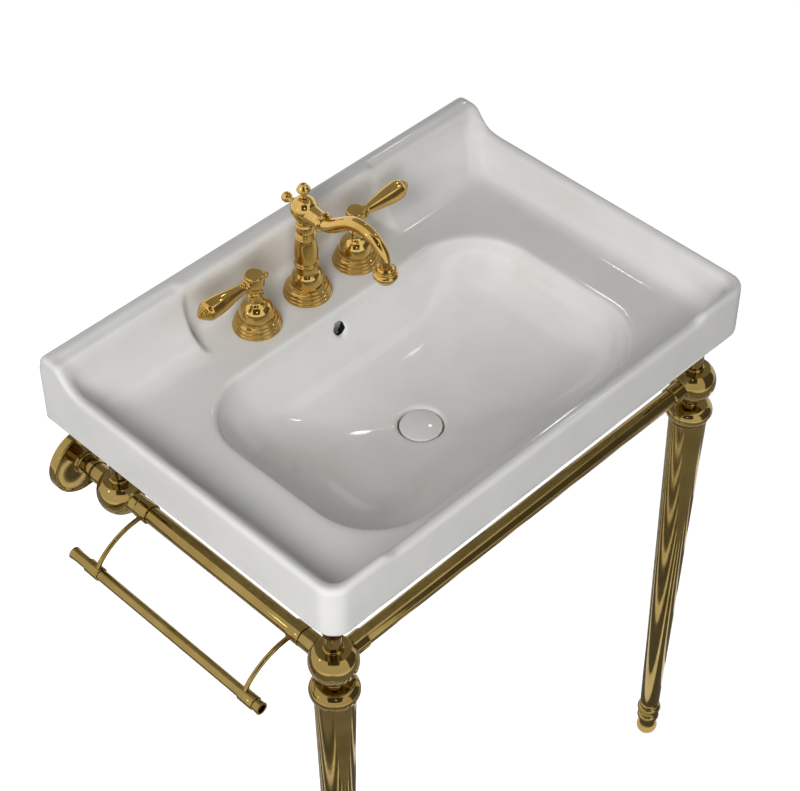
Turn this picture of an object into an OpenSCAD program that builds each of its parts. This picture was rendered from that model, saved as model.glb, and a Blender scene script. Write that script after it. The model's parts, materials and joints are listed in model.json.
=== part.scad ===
// Console basin: a ceramic washbasin with a raised rear ledge, carried on a brass stand that is
// fixed to the wall and has two turned front legs, a towel bar on its left side, a three-hole
// lever faucet and a pop-up waste.
// Frame: +X to the right when facing the basin, +Y towards the wall, +Z up.
// Origin: on the wall plane, midway between the two wall bolts of the basin.

/* [Basin] */
// Overall width of the basin
basin_w = 686; // [650:1:720]
// Depth of the basin from the wall to its front face
basin_d = 476; // [464:1:500]
// Radius of the two front corners in plan
front_corner_r = 25; // [15:1:35]
// Radius of the two rear corners in plan
rear_corner_r = 3; // [2:0.5:6]
// Height of the deck above the wall bolts
deck_z = 51; // [48:1:54]
// Thickness of the deck
deck_t = 20; // [18:1:22]
// Height of the side rim above the deck
rim_h = 48; // [44:1:54]
// Thickness of the rim at its top
rim_t = 13; // [11:1:16]
// Lean of the inner rim wall between its top and its foot, at the sides
side_lean = 16; // [12:1:18]
// Lean of the inner rim wall between its top and its foot, at the front
front_lean = 10; // [6:1:14]
// Depth of the skirt lip below the underside of the deck
lip_h = 5; // [3:1:8]
// Width of the lip around the underside
lip_t = 13; // [11:1:16]
// Height of the rear ledge above the side rim
ledge_h = 28; // [24:1:32]
// Depth of the rear ledge at its top
ledge_d = 29; // [27:1:31]
// Length of the lowered middle of the front rim
dip_w = 500; // [440:1:540]
// Drop of the lowered middle of the front rim
dip_h = 7; // [4:1:10]
// Radius of the fillet between the deck and the side rim
side_fillet = 16; // [12:1:18]
// Radius of the fillet between the deck and the front rim
front_fillet = 14; // [10:1:16]
// Distance from the wall to the foot of the cove that rises to the rear ledge
cove_d = 84; // [80:1:90]
// Width of the recess in the cove that holds the faucet
recess_w = 314; // [290:1:330]

/* [Bowl] */
// Width of the bowl at the deck
bowl_w = 474; // [440:1:500]
// Length of the bowl from front to back at the deck
bowl_l = 301; // [290:1:305]
// Radius of the bowl's corners in plan
bowl_corner_r = 82; // [70:1:95]
// Distance of the bowl's rear edge from the wall
bowl_back = 127; // [126:1:133]
// Depth of the bowl below the deck
bowl_depth = 91; // [86:1:96]
// Squareness of the bowl's section, where 2 is an ellipse
bowl_power = 2; // [1.9:0.05:2.4]
// Thickness of the bowl's wall
bowl_t = 12; // [10:1:13]
// Distance of the waste hole from the wall
drain_y = 269; // [262:1:276]
// Radius of the overflow hole
overflow_r = 8.5; // [7:0.5:9.5]
// Depth of the overflow hole below the deck
overflow_drop = 27; // [24:1:29]

/* [Wall fixing] */
// Distance between the two wall bolt holes
bolt_spacing = 280; // [240:10:300]
// Radius of the wall bolt holes
bolt_hole_r = 7; // [6:0.5:8]
// Width of the fixing panel under the deck
panel_w = 380; // [350:10:400]
// Thickness of the fixing panel
panel_t = 20; // [16:1:24]
// Depth of the fixing panel below the wall bolts
panel_drop = 25; // [20:1:32]

/* [Stand] */
// Distance of the leg axis from the side face of the basin
leg_inset_x = 35; // [32:1:40]
// Distance of the leg axis from the front face of the basin
leg_inset_y = 39; // [36:1:44]
// Distance of the rear ball joints from the wall
rear_ball_y = 79; // [74:1:90]
// Depth of the rails below the wall bolts
rail_drop = 64; // [60:1:70]
// Height of the wall bolts above the floor
bolt_height = 780; // [740:5:820]
// Radius of the ball joints
ball_r = 29; // [26:0.5:32]
// Radius of the rail tubes
rail_r = 11; // [9.5:0.5:12.5]
// Wall thickness of the rail tubes
rail_wall = 1.5; // [1:0.1:2.5]
// Radius of the leg at its top
leg_top_r = 24; // [21:0.5:27]
// Radius of the leg at its bottom
leg_foot_r = 13.5; // [12:0.5:16]
// Radius of the turned bell above the leg
bell_r = 29.5; // [27:0.5:33]
// Radius of the wall flanges
flange_r = 44; // [40:1:48]
// Thickness of the wall flanges
flange_t = 14; // [12:1:17]
// Diameter of the screw circle in the wall plates
plate_pcd = 56; // [50:1:60]
// Radius of the screw holes in the wall plates
plate_hole_r = 2.6; // [2:0.1:3]
// Radius of the support posts under the basin
post_r = 10.5; // [9:0.5:11.5]

/* [Towel bar] */
// Distance of the towel bar from the left rail, sideways
towel_out = 80; // [70:1:95]
// Drop of the towel bar below the left rail
towel_drop = 41; // [36:1:50]
// Radius of the towel bar
towel_r = 7; // [6:0.5:8]
// Length of the towel bar behind its rear arm
towel_rear_end = 44; // [30:1:50]
// Length of the towel bar in front of its front arm
towel_front_end = 27; // [24:1:40]
// Radius of the towel bar arms
arm_r = 3; // [2.5:0.5:4]

/* [Faucet] */
// Distance of the faucet holes from the wall
faucet_y = 77; // [76:1:80]
// Distance from the spout to each handle
handle_x = 82.5; // [76:0.5:90]
// Radius of the faucet holes
faucet_hole_r = 17.5; // [16:0.5:18.5]
// Radius of the round bases on the deck
base_r = 30; // [28:0.5:31]
// Height of the spout's ball head above the deck
head_h = 130; // [122:1:140]
// Radius of the ball head
head_r = 16.5; // [15:0.5:18]
// Reach of the spout from its base to its outlet
spout_reach = 134; // [125:1:145]
// Length of each lever from the handle's axis to its tip
lever_len = 88; // [80:1:94]
// Radius of the lever near its tip
lever_r = 13; // [11:0.5:14]
// Height of the lever above the deck
lever_h = 69; // [67:0.5:72]

/* [Pop-up waste] */
// Radius of the waste hole in the basin
drain_hole_r = 22.5; // [22:0.5:23.5]
// Radius of the stopper's ceramic cap
cap_r = 26; // [25:0.5:27]
// Height that the stopper falls when it closes
stopper_travel = 6; // [5:0.5:7]
// Distance from the pivot ball to the stopper's eye
inner_arm = 33; // [31:0.5:34]
// Radius of the tailpiece
tail_r = 16; // [15:0.5:16]
// Length of the tailpiece that shows below the waste body
tail_len = 80; // [60:5:100]
// Radius of the lift rod
rod_r = 2.5; // [2:0.1:3]

/* [Fits] */
// Radial clearance of a running fit
run_gap = 0.05; // [0.02:0.01:0.09]
// Gap between a moving piece and its neighbour
free_gap = 0.6; // [0.4:0.1:1]

/* [Hidden] */
$fn = 72;
half_w = basin_w / 2;
rim_z = deck_z + rim_h;
ledge_z = rim_z + ledge_h;
under_z = deck_z - deck_t;
skirt_z = under_z - lip_h;
bowl_cy = -(bowl_back + bowl_l / 2);
bowl_z = deck_z - bowl_depth;
floor_z = -bolt_height;
rail_z = -rail_drop;
leg_x = half_w - leg_inset_x;
front_y = -(basin_d - leg_inset_y);
rear_y = -rear_ball_y;
head_z = deck_z + head_h;

// Waste levels: the cap lies level with the bowl when it is open and falls onto its seat to close
cap_h = 7;
cap_stand = 1;
cap_gap = 2;
seat_lip = 2.5;
cap_z = bowl_z + cap_stand - cap_h;
lip_top_z = cap_z - stopper_travel - free_gap;
sink_z = lip_top_z - seat_lip;
tunnel_z = sink_z - 9;
boss_z = sink_z - 19;
boss_r = 36;
body_r = drain_hole_r - 1;
body_wall = 2.5;
body_top_z = sink_z - 2;
spigot_r = body_r - body_wall;
bore_r = spigot_r - 2;
washer_h = 10;
pivot_z = boss_z - 40;
tail_wall = 1.6;
tail_thread_r = tail_r - 0.5;
body_end_z = pivot_z - 38;
pivot_y = -drain_y + 30;
strap_y = -faucet_y - rod_r - 2.2;
strap_t = 1.6;
outer_arm = strap_y - pivot_y;
rod_travel = stopper_travel * outer_arm / inner_arm;
rest_tilt = asin(rod_travel / 2 / outer_arm);
rod_end_z = pivot_z - rod_travel / 2;
eye_z = pivot_z + stopper_travel / 2;

// Overflow way
overflow_y = -(bowl_back - 8);
way_w = 28;
way_h = 9;
way_wall = 5;

// Spout: column, ball head with its neck, arm and outlet
neck_r = 10.6;
column_top = head_h - sqrt(head_r * head_r - neck_r * neck_r);
shank_r = 13;
shank_in = 14;
water_r = 9;
guide_r = 4.2;
arm_dip = -2.6;
arm_knee = [-77, 22.5];
arm_bore = 5.6;
arm_bore_end = 4.8;
arm_root_r = 9.2;
arm_end_r = 6.8;
neck_len = 35;
aerator_y = -faucet_y - spout_reach;
aerator_z = head_z - 8.5;
screen_r = 9.6;

// Plumbing below the deck: depths of the shank, tubes, tee, valves and inlets
shank_drop = 62;
tube_drop = 70;
tee_drop = 84;
valve_drop = 84;
inlet_drop = 106;
inlet_r = 10.2;
tube_r = 4;

// Handles: bell cover, hub and lever
bell_top = 51;
hub_z = bell_top + free_gap;
handle_top = lever_h + 10.5;
stem_r = 4;
stem_in = 16;
stem_drop = 29;
hub_r = 12;
set_r = 1.5;
tenon_r = 3;

// Lift strap
strap_top = deck_z - tee_drop - 38;

// Ball fittings, with the directions that their sockets can point in
ball_flat = 21;
post_in = 6;
post_head_r = 22;
pad_t = 3;
socket_end = ball_r + 17;
rear_socket_end = ball_r + 8;
seat_in = 20;
along_right = [0, 90, 0];
along_left = [0, -90, 0];
along_front = [90, 0, 0];
along_wall = [-90, 0, 0];

// Front legs: depth of the bell's lower end below the rail, height of the turned foot
bell_drop = 62;
foot_h = 72;
leg_wall = 2.5;

// Wall plates and their covers
plate_t = 5;
cover_t = 3;

// Towel bar and its arms
bar_x = -leg_x - towel_out;
bar_z = rail_z - towel_drop;
bar_collar = 22;
rail_collar = 18;
arm_straight = 15;
arm_bend_r = 24;
arm_seat = 12;
arm_rear_y = rear_y - rear_socket_end - arm_seat;
arm_front_y = front_y + socket_end + arm_seat;
towel_back = -arm_rear_y - towel_rear_end;
towel_len = arm_rear_y - arm_front_y + towel_rear_end + towel_front_end;

// Points of an arc about a centre
function arc(c, r, a0, a1, n = 6) =
    [for (i = [0:n]) [c[0] + r * cos(a0 + (a1 - a0) * i / n), c[1] + r * sin(a0 + (a1 - a0) * i / n)]];

// One point of a cubic curve with four control points
function bez(p, t) =
    pow(1 - t, 3) * p[0] + 3 * pow(1 - t, 2) * t * p[1] + 3 * (1 - t) * t * t * p[2] + pow(t, 3) * p[3];

// Points of a cubic curve
function curve(p, n = 8) = [for (i = [0:n]) bez(p, i / n)];

// Points of a rounded corner between two straight lines, from a to b
function rounded(a, corner, b, n = 6) = curve([a, a + 0.55 * (corner - a), b + 0.55 * (corner - b), b], n);

// Square-ended band of width w along a path of points, with mitred corners
function side_of(p, q) = [p[1] - q[1], q[0] - p[0]] / norm(q - p);
function mitre(path, k) =
    k == 0 ? side_of(path[0], path[1]) :
    k == len(path) - 1 ? side_of(path[k - 1], path[k]) :
    let (m = side_of(path[k - 1], path[k]) + side_of(path[k], path[k + 1])) 2 * m / (m * m);
function band(path, w) = concat(
    [for (k = [0:len(path) - 1]) path[k] + mitre(path, k) * w / 2],
    [for (k = [len(path) - 1:-1:0]) path[k] - mitre(path, k) * w / 2]);

// Plan outline of the bowl, one arc for each corner, grown by g
function bowl_outline(g, n = 12) =
    [for (q = [0:3]) for (i = [0:n])
        let (a = 90 * q + 90 * i / n, r = bowl_corner_r + g,
             sx = (q == 0 || q == 3) ? 1 : -1, sy = (q < 2) ? 1 : -1)
        [sx * (bowl_w / 2 - bowl_corner_r) + r * cos(a),
         bowl_cy + sy * (bowl_l / 2 - bowl_corner_r) + r * sin(a)]];

// Extrudes a side profile of [y, z] points along X
module along_x(w) {
    rotate([90, 0, 90])
        linear_extrude(w, center = true)
            children();
}

// Extrudes a front profile of [x, z] points along Y
module along_y(l) {
    rotate([90, 0, 0])
        linear_extrude(l, center = true)
            children();
}

// A turned piece from a profile of [radius, height] points
module turned(points) {
    rotate_extrude()
        polygon(points);
}

// A tube standing on its end
module tube(r, wall, h) {
    difference() {
        cylinder(r = r, h = h);
        translate([0, 0, -1])
            cylinder(r = r - wall, h = h + 2);
    }
}

// A hexagonal nut with a plain hole
module hex_nut(flats, hole_r, h) {
    difference() {
        cylinder(r = flats / 2 / cos(30), h = h, $fn = 6);
        translate([0, 0, -1])
            cylinder(r = hole_r, h = h + 2);
    }
}

// Solid of the bowl: outlines that shrink towards the waste hole as they go down
module bowl_solid(grow, top_z, depth) {
    outline = bowl_outline(grow);
    n = len(outline);
    rings = 12;
    wall = [for (k = [0:rings - 1]) let (a = 90 * k / rings, s = pow(cos(a), 2 / bowl_power))
        for (p = outline)
            [s * p[0], s * (p[1] + drain_y) - drain_y,
             k == 0 ? top_z : deck_z - depth * pow(sin(a), 2 / bowl_power)]];
    foot = [0, -drain_y, deck_z - depth];
    lid = [for (i = [n - 1:-1:0]) i];
    sides = [for (k = [0:rings - 2]) for (i = [0:n - 1]) let (j = (i + 1) % n)
        each [[k * n + i, (k + 1) * n + j, (k + 1) * n + i], [k * n + i, k * n + j, (k + 1) * n + j]]];
    base = [for (i = [0:n - 1]) [(rings - 1) * n + i, (rings - 1) * n + (i + 1) % n, rings * n]];
    polyhedron(concat(wall, [foot]), concat([lid], sides, base));
}

// Plan outline of the basin
module basin_plan() {
    x = half_w - front_corner_r;
    xr = half_w - rear_corner_r;
    for (s = [-1, 1]) {
        translate([s * x, -(basin_d - front_corner_r)])
            circle(front_corner_r);
        translate([s * xr, -rear_corner_r])
            circle(rear_corner_r);
    }
    translate([-x, -basin_d])
        square([2 * x, front_corner_r]);
    translate([-half_w, -(basin_d - front_corner_r)])
        square([basin_w, basin_d - front_corner_r - rear_corner_r]);
    translate([-xr, -rear_corner_r])
        square([2 * xr, rear_corner_r]);
}

// Side profile of the rim: rounded back edge, rear ledge, and the sweep down to the side rim
module rim_profile() {
    back = curve([[0, ledge_z - 15], [0, ledge_z - 5], [-6, ledge_z], [-14, ledge_z]], 5);
    sweep = curve([[-ledge_d + 1, ledge_z], [-ledge_d - 14, ledge_z], [-ledge_d - 15, rim_z + 4],
        [-ledge_d - 37, rim_z + 1]], 10);
    polygon(concat([[0, skirt_z]], back, sweep,
        [[-ledge_d - 56, rim_z], [-basin_d, rim_z], [-basin_d, skirt_z]]));
}

// Side profile of the tray above the deck, with the cove that rises to the rear ledge
module tray_profile() {
    top = -(basin_d - rim_t);
    foot = top + front_lean;
    knee = [-ledge_d - 9, ledge_z - 23];
    lip = [-ledge_d + 4, ledge_z];
    cove = curve([[-cove_d, deck_z], [-cove_d + 22, deck_z + 2], [-ledge_d - 15, deck_z + 25], knee], 8);
    edge = curve([knee, [-ledge_d - 6.5, ledge_z - 9], [-ledge_d - 5, ledge_z], lip], 6);
    front = rounded([foot - front_lean * front_fillet / rim_h, deck_z + front_fillet], [foot, deck_z],
        [foot + front_fillet, deck_z]);
    polygon(concat([[top, rim_z]], front, cove, [for (i = [1:6]) edge[i]],
        [lip + [0, 2], [top, ledge_z + 2]]));
}

// Front profile of the tray above the deck
module tray_width_profile() {
    top = half_w - rim_t;
    foot = top - side_lean;
    side = concat(rounded([foot - side_fillet, deck_z], [foot, deck_z],
        [foot + side_lean * side_fillet / rim_h, deck_z + side_fillet]), [[top, rim_z], [top, ledge_z + 3]]);
    polygon(concat(side, [for (i = [len(side) - 1:-1:0]) [-side[i][0], side[i][1]]]));
}

// Side profile of the faucet recess in the cove
module recess_profile() {
    back_y = -ledge_d - 3;
    fillet = faucet_y - base_r + back_y - 1;
    polygon(concat([[-cove_d - 14, deck_z]], arc([back_y - fillet, deck_z + fillet], fillet, -90, 0, 6),
        [[-ledge_d - 5, ledge_z - 6.5], [-ledge_d - 5, ledge_z + 2], [-cove_d - 14, ledge_z + 2]]));
}

// Side profile of the overflow way behind and under the bowl, or of the rib that holds it
module overflow_path(w, end_r) {
    polygon(band([
        [overflow_y, deck_z - overflow_drop + w / 2],
        [overflow_y, bowl_z + 48],
        [overflow_y - 79, tunnel_z + 3],
        [-drain_y + boss_r + 2, tunnel_z],
        [-drain_y + end_r, tunnel_z]], w));
}

// Holes for the faucet, the waste, the overflow and the wall bolts
module basin_holes() {
    for (x = [-handle_x, 0, handle_x])
        translate([x, -faucet_y, under_z - 1])
            cylinder(r = faucet_hole_r, h = deck_t + 2);
    translate([0, -drain_y, boss_z - 1])
        cylinder(r = drain_hole_r, h = sink_z - boss_z + 2);
    translate([0, -drain_y, sink_z])
        cylinder(r = cap_r + cap_gap, h = bowl_z - sink_z + 3);
    translate([0, overflow_y, deck_z - overflow_drop])
        rotate([90, 0, 0])
            cylinder(r = overflow_r, h = 24);
    for (s = [-1, 1])
        translate([s * bolt_spacing / 2, 1, 0])
            rotate([90, 0, 0])
                cylinder(r = bolt_hole_r, h = panel_t + 2);
}

module basin() {
    dip_end = dip_w / 2 + dip_h;
    color("whitesmoke")
        difference() {
            union() {
                difference() {
                    intersection() {
                        along_x(basin_w + 2)
                            rim_profile();
                        translate([0, 0, skirt_z])
                            linear_extrude(ledge_z - skirt_z + 1)
                                basin_plan();
                    }
                    intersection() {
                        along_x(basin_w)
                            tray_profile();
                        translate([0, -basin_d / 2, 0])
                            along_y(basin_d + 2)
                                tray_width_profile();
                    }
                    along_x(recess_w)
                        recess_profile();
                    translate([0, -basin_d + rim_t / 2, 0])
                        along_y(3 * rim_t)
                            polygon([[-dip_end, rim_z], [-dip_w / 2, rim_z - dip_h],
                                [dip_w / 2, rim_z - dip_h], [dip_end, rim_z],
                                [dip_end, rim_z + 2], [-dip_end, rim_z + 2]]);
                    translate([-(half_w - lip_t), -(basin_d - lip_t), skirt_z - 1])
                        cube([basin_w - 2 * lip_t, basin_d - 2 * lip_t, lip_h + 1]);
                }
                bowl_solid(bowl_t, deck_z - 2, bowl_depth + bowl_t);
                translate([-panel_w / 2, -panel_t, -panel_drop])
                    cube([panel_w, panel_t, under_z + panel_drop + 1]);
                translate([0, -drain_y, boss_z])
                    cylinder(r = boss_r, h = bowl_z - boss_z);
                along_x(way_w + 16)
                    overflow_path(way_h + 2 * way_wall, boss_r - 6);
            }
            bowl_solid(0, deck_z + 1, bowl_depth);
            along_x(way_w)
                overflow_path(way_h, body_r - 1);
            basin_holes();
        }
}

// Profile of the moulded base that the spout and both handles share, from the deck up to the dome
function base_profile() = concat([[base_r, 0]], arc([base_r - 2, 2], 2, 0, 75, 4),
    arc([base_r - 3.6, 6.6], 2.2, -35, 75, 4), arc([base_r - 4.8, 11], 1.8, -40, 80, 4),
    arc([base_r - 7.4, 15], 1.5, -50, 80, 4));

// Profile of the spout column above its base: dome, two rings, shaft, three rings, bulb and collar
function column_profile() = let (t = column_top) concat(
    curve([[base_r - 10.4, 17], [base_r - 10, 27], [18.4, 32.5], [14.8, 36]], 8),
    [[14.2, 38], [14, 44.5]], arc([13.9, 47.4], 1.5, -60, 60, 3), arc([13.6, 50.6], 1.4, -60, 60, 3),
    curve([[13.8, 52.5], [15.9, 61], [14.2, t - 40.4], [11.6, t - 31.4]], 8),
    arc([11.2, t - 29.4], 1.5, -60, 60, 3), arc([11, t - 26.4], 1.4, -60, 60, 3),
    arc([10.8, t - 23.8], 1.2, -60, 60, 3),
    curve([[10.6, t - 21.9], [12.6, t - 17.4], [12.6, t - 12.4], [10.4, t - 7.9]], 6),
    [[11.4, t - 6.9], [11.4, t - 4.9], [10.6, t - 3.9]]);

module spout_column() {
    color("goldenrod")
        translate([0, -faucet_y, deck_z])
            difference() {
                turned(concat([[0, 0]], base_profile(), column_profile(),
                    [[neck_r, column_top], [0, column_top]]));
                translate([0, 0, -1])
                    cylinder(r = shank_r, h = shank_in + 1);
                cylinder(r = water_r, h = head_h);
            }
}

// Profile of the neck between the ball head and the arm, with its turned ring
function neck_profile() = concat([[0, 0], [14.4, 8], [12.2, 16], [10.8, 24], [10.6, neck_len - 5.6]],
    arc([10.6, neck_len - 3.2], 2.3, -70, 70, 6), [[10.4, neck_len], [0, neck_len]]);

module spout_ball() {
    cut_z = column_top - head_h;
    color("goldenrod")
        translate([0, -faucet_y, head_z])
            difference() {
                union() {
                    sphere(head_r);
                    translate([0, 0, arm_dip])
                        rotate([90, 0, 0])
                            turned(neck_profile());
                }
                translate([0, 0, cut_z - 20])
                    cylinder(r = head_r + 2, h = 20);
                translate([0, 0, cut_z - 1])
                    cylinder(r = water_r, h = 9 - cut_z);
                cylinder(r = guide_r, h = head_r + 2);
                translate([0, 0, arm_dip])
                    rotate([90, 0, 0])
                        cylinder(r = arm_bore, h = neck_len + 1);
                translate([0, head_r - 5, 0])
                    rotate([-90, 0, 0])
                        cylinder(r = 2.5, h = 8);
            }
}

// Centre line of the spout arm in [y, z], counted from the ball head's centre
function arm_path(n = 9) = concat(
    [for (i = [0:n - 1]) bez([[-neck_len, arm_dip], [-47, arm_dip], [-60, 12.5], arm_knee], i / n)],
    [for (i = [0:n])
        bez([arm_knee, arm_knee + [-19, 11.2], [1 - spout_reach, 26], [-spout_reach, -8.5]], i / n)]);

// Surface of a round bar along a path, with its radius at each step
module swept(path, radii, sides = 20) {
    n = len(path);
    points = [for (k = [0:n - 1])
        let (a = path[max(k - 1, 0)], b = path[min(k + 1, n - 1)], d = (b - a) / norm(b - a), r = radii[k])
        for (i = [0:sides - 1]) let (t = 360 * i / sides)
            [r * cos(t), path[k][0] - d[1] * r * sin(t), path[k][1] + d[0] * r * sin(t)]];
    skin = [for (k = [0:n - 2]) for (i = [0:sides - 1]) let (j = (i + 1) % sides)
        each [[k * sides + i, k * sides + j, (k + 1) * sides + j],
              [k * sides + i, (k + 1) * sides + j, (k + 1) * sides + i]]];
    ends = [[for (i = [sides - 1:-1:0]) i], [for (i = [0:sides - 1]) (n - 1) * sides + i]];
    polyhedron(points, concat(skin, ends));
}

module spout_arm() {
    path = arm_path();
    n = len(path);
    outside = [for (i = [0:n - 1]) arm_root_r - (arm_root_r - arm_end_r) * pow(i / (n - 1), 1.5)];
    inside = [for (i = [0:n - 1]) arm_bore - (arm_bore - arm_bore_end) * i / (n - 1)];
    color("goldenrod")
        translate([0, -faucet_y, head_z])
            difference() {
                swept(concat([path[0] + [2, 0]], path, [path[n - 1] - [0, 3]]),
                    concat([arm_root_r], outside, [arm_end_r]));
                swept(concat([path[0] + [3, 0]], path, [path[n - 1] - [0, 4]]),
                    concat([arm_bore], inside, [arm_bore_end]), 12);
                translate([-20, -neck_len, arm_dip - 20])
                    cube([40, 10, 40]);
                translate([-20, -spout_reach - 20, aerator_z - head_z - 20])
                    cube([40, 40, 20]);
            }
}

module aerator_shell() {
    color("goldenrod")
        translate([0, aerator_y, aerator_z])
            difference() {
                turned(concat([[0, -19], [11.2, -19]], arc([10.4, -11], 4.6, -50, 50, 6), [[11.6, -6.5]],
                    arc([10.8, -4], 2, -50, 50, 4), [[10, -2], [8, 0], [0, 0]]));
                translate([0, 0, -20])
                    cylinder(r = screen_r, h = 14);
                translate([0, 0, -7])
                    cylinder(r = arm_bore_end, h = 8);
            }
}

module aerator_screen() {
    color("silver")
        translate([0, aerator_y, aerator_z - 16])
            difference() {
                cylinder(r = screen_r, h = 9);
                for (ring = [0:2])
                    for (i = [0:max(0, ring * 6 - 1)])
                        rotate(360 * i / max(1, ring * 6))
                            translate([ring * 3.3, 0, -1])
                                cylinder(r = 1.1, h = 11, $fn = 16);
            }
}

module rear_finial() {
    color("goldenrod")
        translate([0, -faucet_y + head_r - 4, head_z])
            rotate([-90, 0, 0])
                turned(concat([[0, 0], [2.5, 0], [2.5, 4], [5.6, 4], [5.6, 5.4], [4, 7], [3.4, 9], [3.6, 11]],
                    arc([0, 17], 6.8, -58, 90, 10)));
}

module rod_guide() {
    color("peru")
        translate([0, -faucet_y, deck_z - tee_drop])
            tube(guide_r, guide_r - rod_r - run_gap, head_h + tee_drop + head_r - 1);
}

module lift_rod() {
    color("goldenrod")
        translate([0, -faucet_y, strap_top - 20])
            cylinder(r = rod_r, h = head_z + head_r + 5 - strap_top + 20);
}

module lift_knob() {
    color("goldenrod")
        translate([0, -faucet_y, head_z + head_r + 1])
            difference() {
                turned(concat([[0, 0], [4.4, 0], [4.4, 1], [3.6, 2], [3.4, 4.5], [4.6, 6], [4.6, 7]],
                    arc([5.4, 11], 3.2, -60, 60, 6), [[5.6, 16.5], [3, 18.6], [0, 19.2]]));
                translate([0, 0, -1])
                    cylinder(r = rod_r, h = 5);
            }
}

module spout_shank() {
    color("peru")
        translate([0, -faucet_y, deck_z - shank_drop])
            tube(shank_r, shank_r - water_r, shank_drop + shank_in);
}

module spout_tee() {
    color("peru")
        translate([0, -faucet_y, deck_z - tee_drop])
            difference() {
                union() {
                    cylinder(r = shank_r + 3.5, h = 30);
                    translate([-27, 0, tee_drop - tube_drop])
                        rotate([0, 90, 0])
                            cylinder(r = 8, h = 54);
                }
                translate([0, 0, tee_drop - shank_drop])
                    cylinder(r = shank_r, h = 9);
                translate([0, 0, 6])
                    cylinder(r = water_r, h = 20);
                translate([0, 0, -1])
                    cylinder(r = guide_r, h = 9);
                translate([-28, 0, tee_drop - tube_drop])
                    rotate([0, 90, 0])
                        cylinder(r = tube_r, h = 56);
            }
}

// The three rubber washers under the deck
module deck_washers() {
    color("dimgray")
        for (x = [-handle_x, 0, handle_x])
            translate([x, -faucet_y, under_z - 3])
                tube(23, 23 - shank_r, 3);
}

// The three brass locknuts under the deck
module deck_locknuts() {
    color("peru")
        for (x = [-handle_x, 0, handle_x])
            translate([x, -faucet_y, under_z - 13])
                hex_nut(38, shank_r, 10);
}

// Bell-shaped cover over one valve
module handle_bell(side) {
    color("goldenrod")
        translate([side * handle_x, -faucet_y, deck_z])
            difference() {
                turned(concat([[0, 0]], base_profile(),
                    curve([[base_r - 9, 17], [base_r - 8.6, 27], [18.6, 33.5], [12, 37.5]], 8),
                    curve([[12, 37.5], [9.6, 39.2], [8.9, 42], [8.6, bell_top - 4]], 4),
                    arc([8.6, bell_top - 2], 1.5, -70, 70, 4), [[8.4, bell_top], [0, bell_top]]));
                translate([0, 0, -1])
                    cylinder(r = 16, h = 26);
                cylinder(r = 7.5, h = bell_top + 1);
            }
}

// Hub of one handle with its turned stub, held on the valve stem by a set screw
module handle_hub(side) {
    color("goldenrod")
        translate([side * handle_x, -faucet_y, deck_z])
            difference() {
                union() {
                    translate([0, 0, lever_h])
                        rotate([0, -side * 90, 0])
                            turned(concat([[0, 0], [5, 0], [5, hub_r + 0.3], [4.4, hub_r + 1],
                                [3.6, hub_r + 1.6]], arc([0, hub_r + 4.4], 4.6, -38, 90, 6)));
                    turned(concat([[0, hub_z], [9, hub_z], [9.4, hub_z + 1.4], [8.4, hub_z + 3]],
                        curve([[8.2, hub_z + 4], [8.1, hub_z + 8], [9, hub_z + 10],
                            [hub_r - 0.4, lever_h - 4.5]], 5),
                        [[hub_r, lever_h - 2], [hub_r, lever_h + 6.5], [hub_r - 0.5, lever_h + 9],
                        [hub_r - 1.3, handle_top], [0, handle_top]]));
                }
                translate([0, 0, hub_z - 1])
                    cylinder(r = stem_r, h = stem_in + 1);
                translate([0, 0, hub_z + 6])
                    rotate([-90, 0, 0])
                        cylinder(r = set_r, h = 14);
                translate([side * 6, 0, lever_h])
                    rotate([0, side * 90, 0])
                        cylinder(r = tenon_r, h = 8);
            }
}

// Set screw in the back of one hub
module handle_screw(side) {
    color("silver")
        translate([side * handle_x, -faucet_y + stem_r, deck_z + hub_z + 6])
            rotate([-90, 0, 0])
                difference() {
                    cylinder(r = set_r, h = 3.4);
                    translate([0, 0, 2])
                        cylinder(r = 0.8, h = 2, $fn = 6);
                }
}

// Lever of one handle, pointing away from the spout, with its tenon in the hub
module handle_lever(side) {
    belly = lever_len - 17;
    color("goldenrod")
        translate([side * handle_x, -faucet_y, deck_z + lever_h])
            rotate([0, side * 90, 0])
                difference() {
                    turned(concat([[0, 6], [tenon_r, 6], [tenon_r, hub_r - 1.3], [8.2, hub_r - 1.3],
                        [8.4, hub_r + 1.5], [6.8, hub_r + 2.8], [7.6, hub_r + 4.3], [7.2, hub_r + 5.6],
                        [6.4, hub_r + 6.6]],
                        curve([[6.6, 22], [8.6, 36], [lever_r - 0.6, 50], [lever_r, belly - 5]], 10),
                        curve([[lever_r, belly - 1], [lever_r, belly + 3], [lever_r - 1.5, belly + 5.5],
                            [lever_r - 3.6, belly + 6.5]], 5),
                        [for (bead = [[8.6, 8], [6.8, 10.4], [5, 12.6], [3.2, 14.6]])
                            each arc([bead[0] - 0.4, belly + bead[1]], 1.1, -50, 50, 2)],
                        [[1.4, lever_len - 0.8], [0, lever_len]]));
                    difference() {
                        rotate([0, 90, 0])
                            cylinder(r = hub_r, h = 40, center = true);
                        cylinder(r = tenon_r, h = 12);
                    }
                }
}

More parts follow.
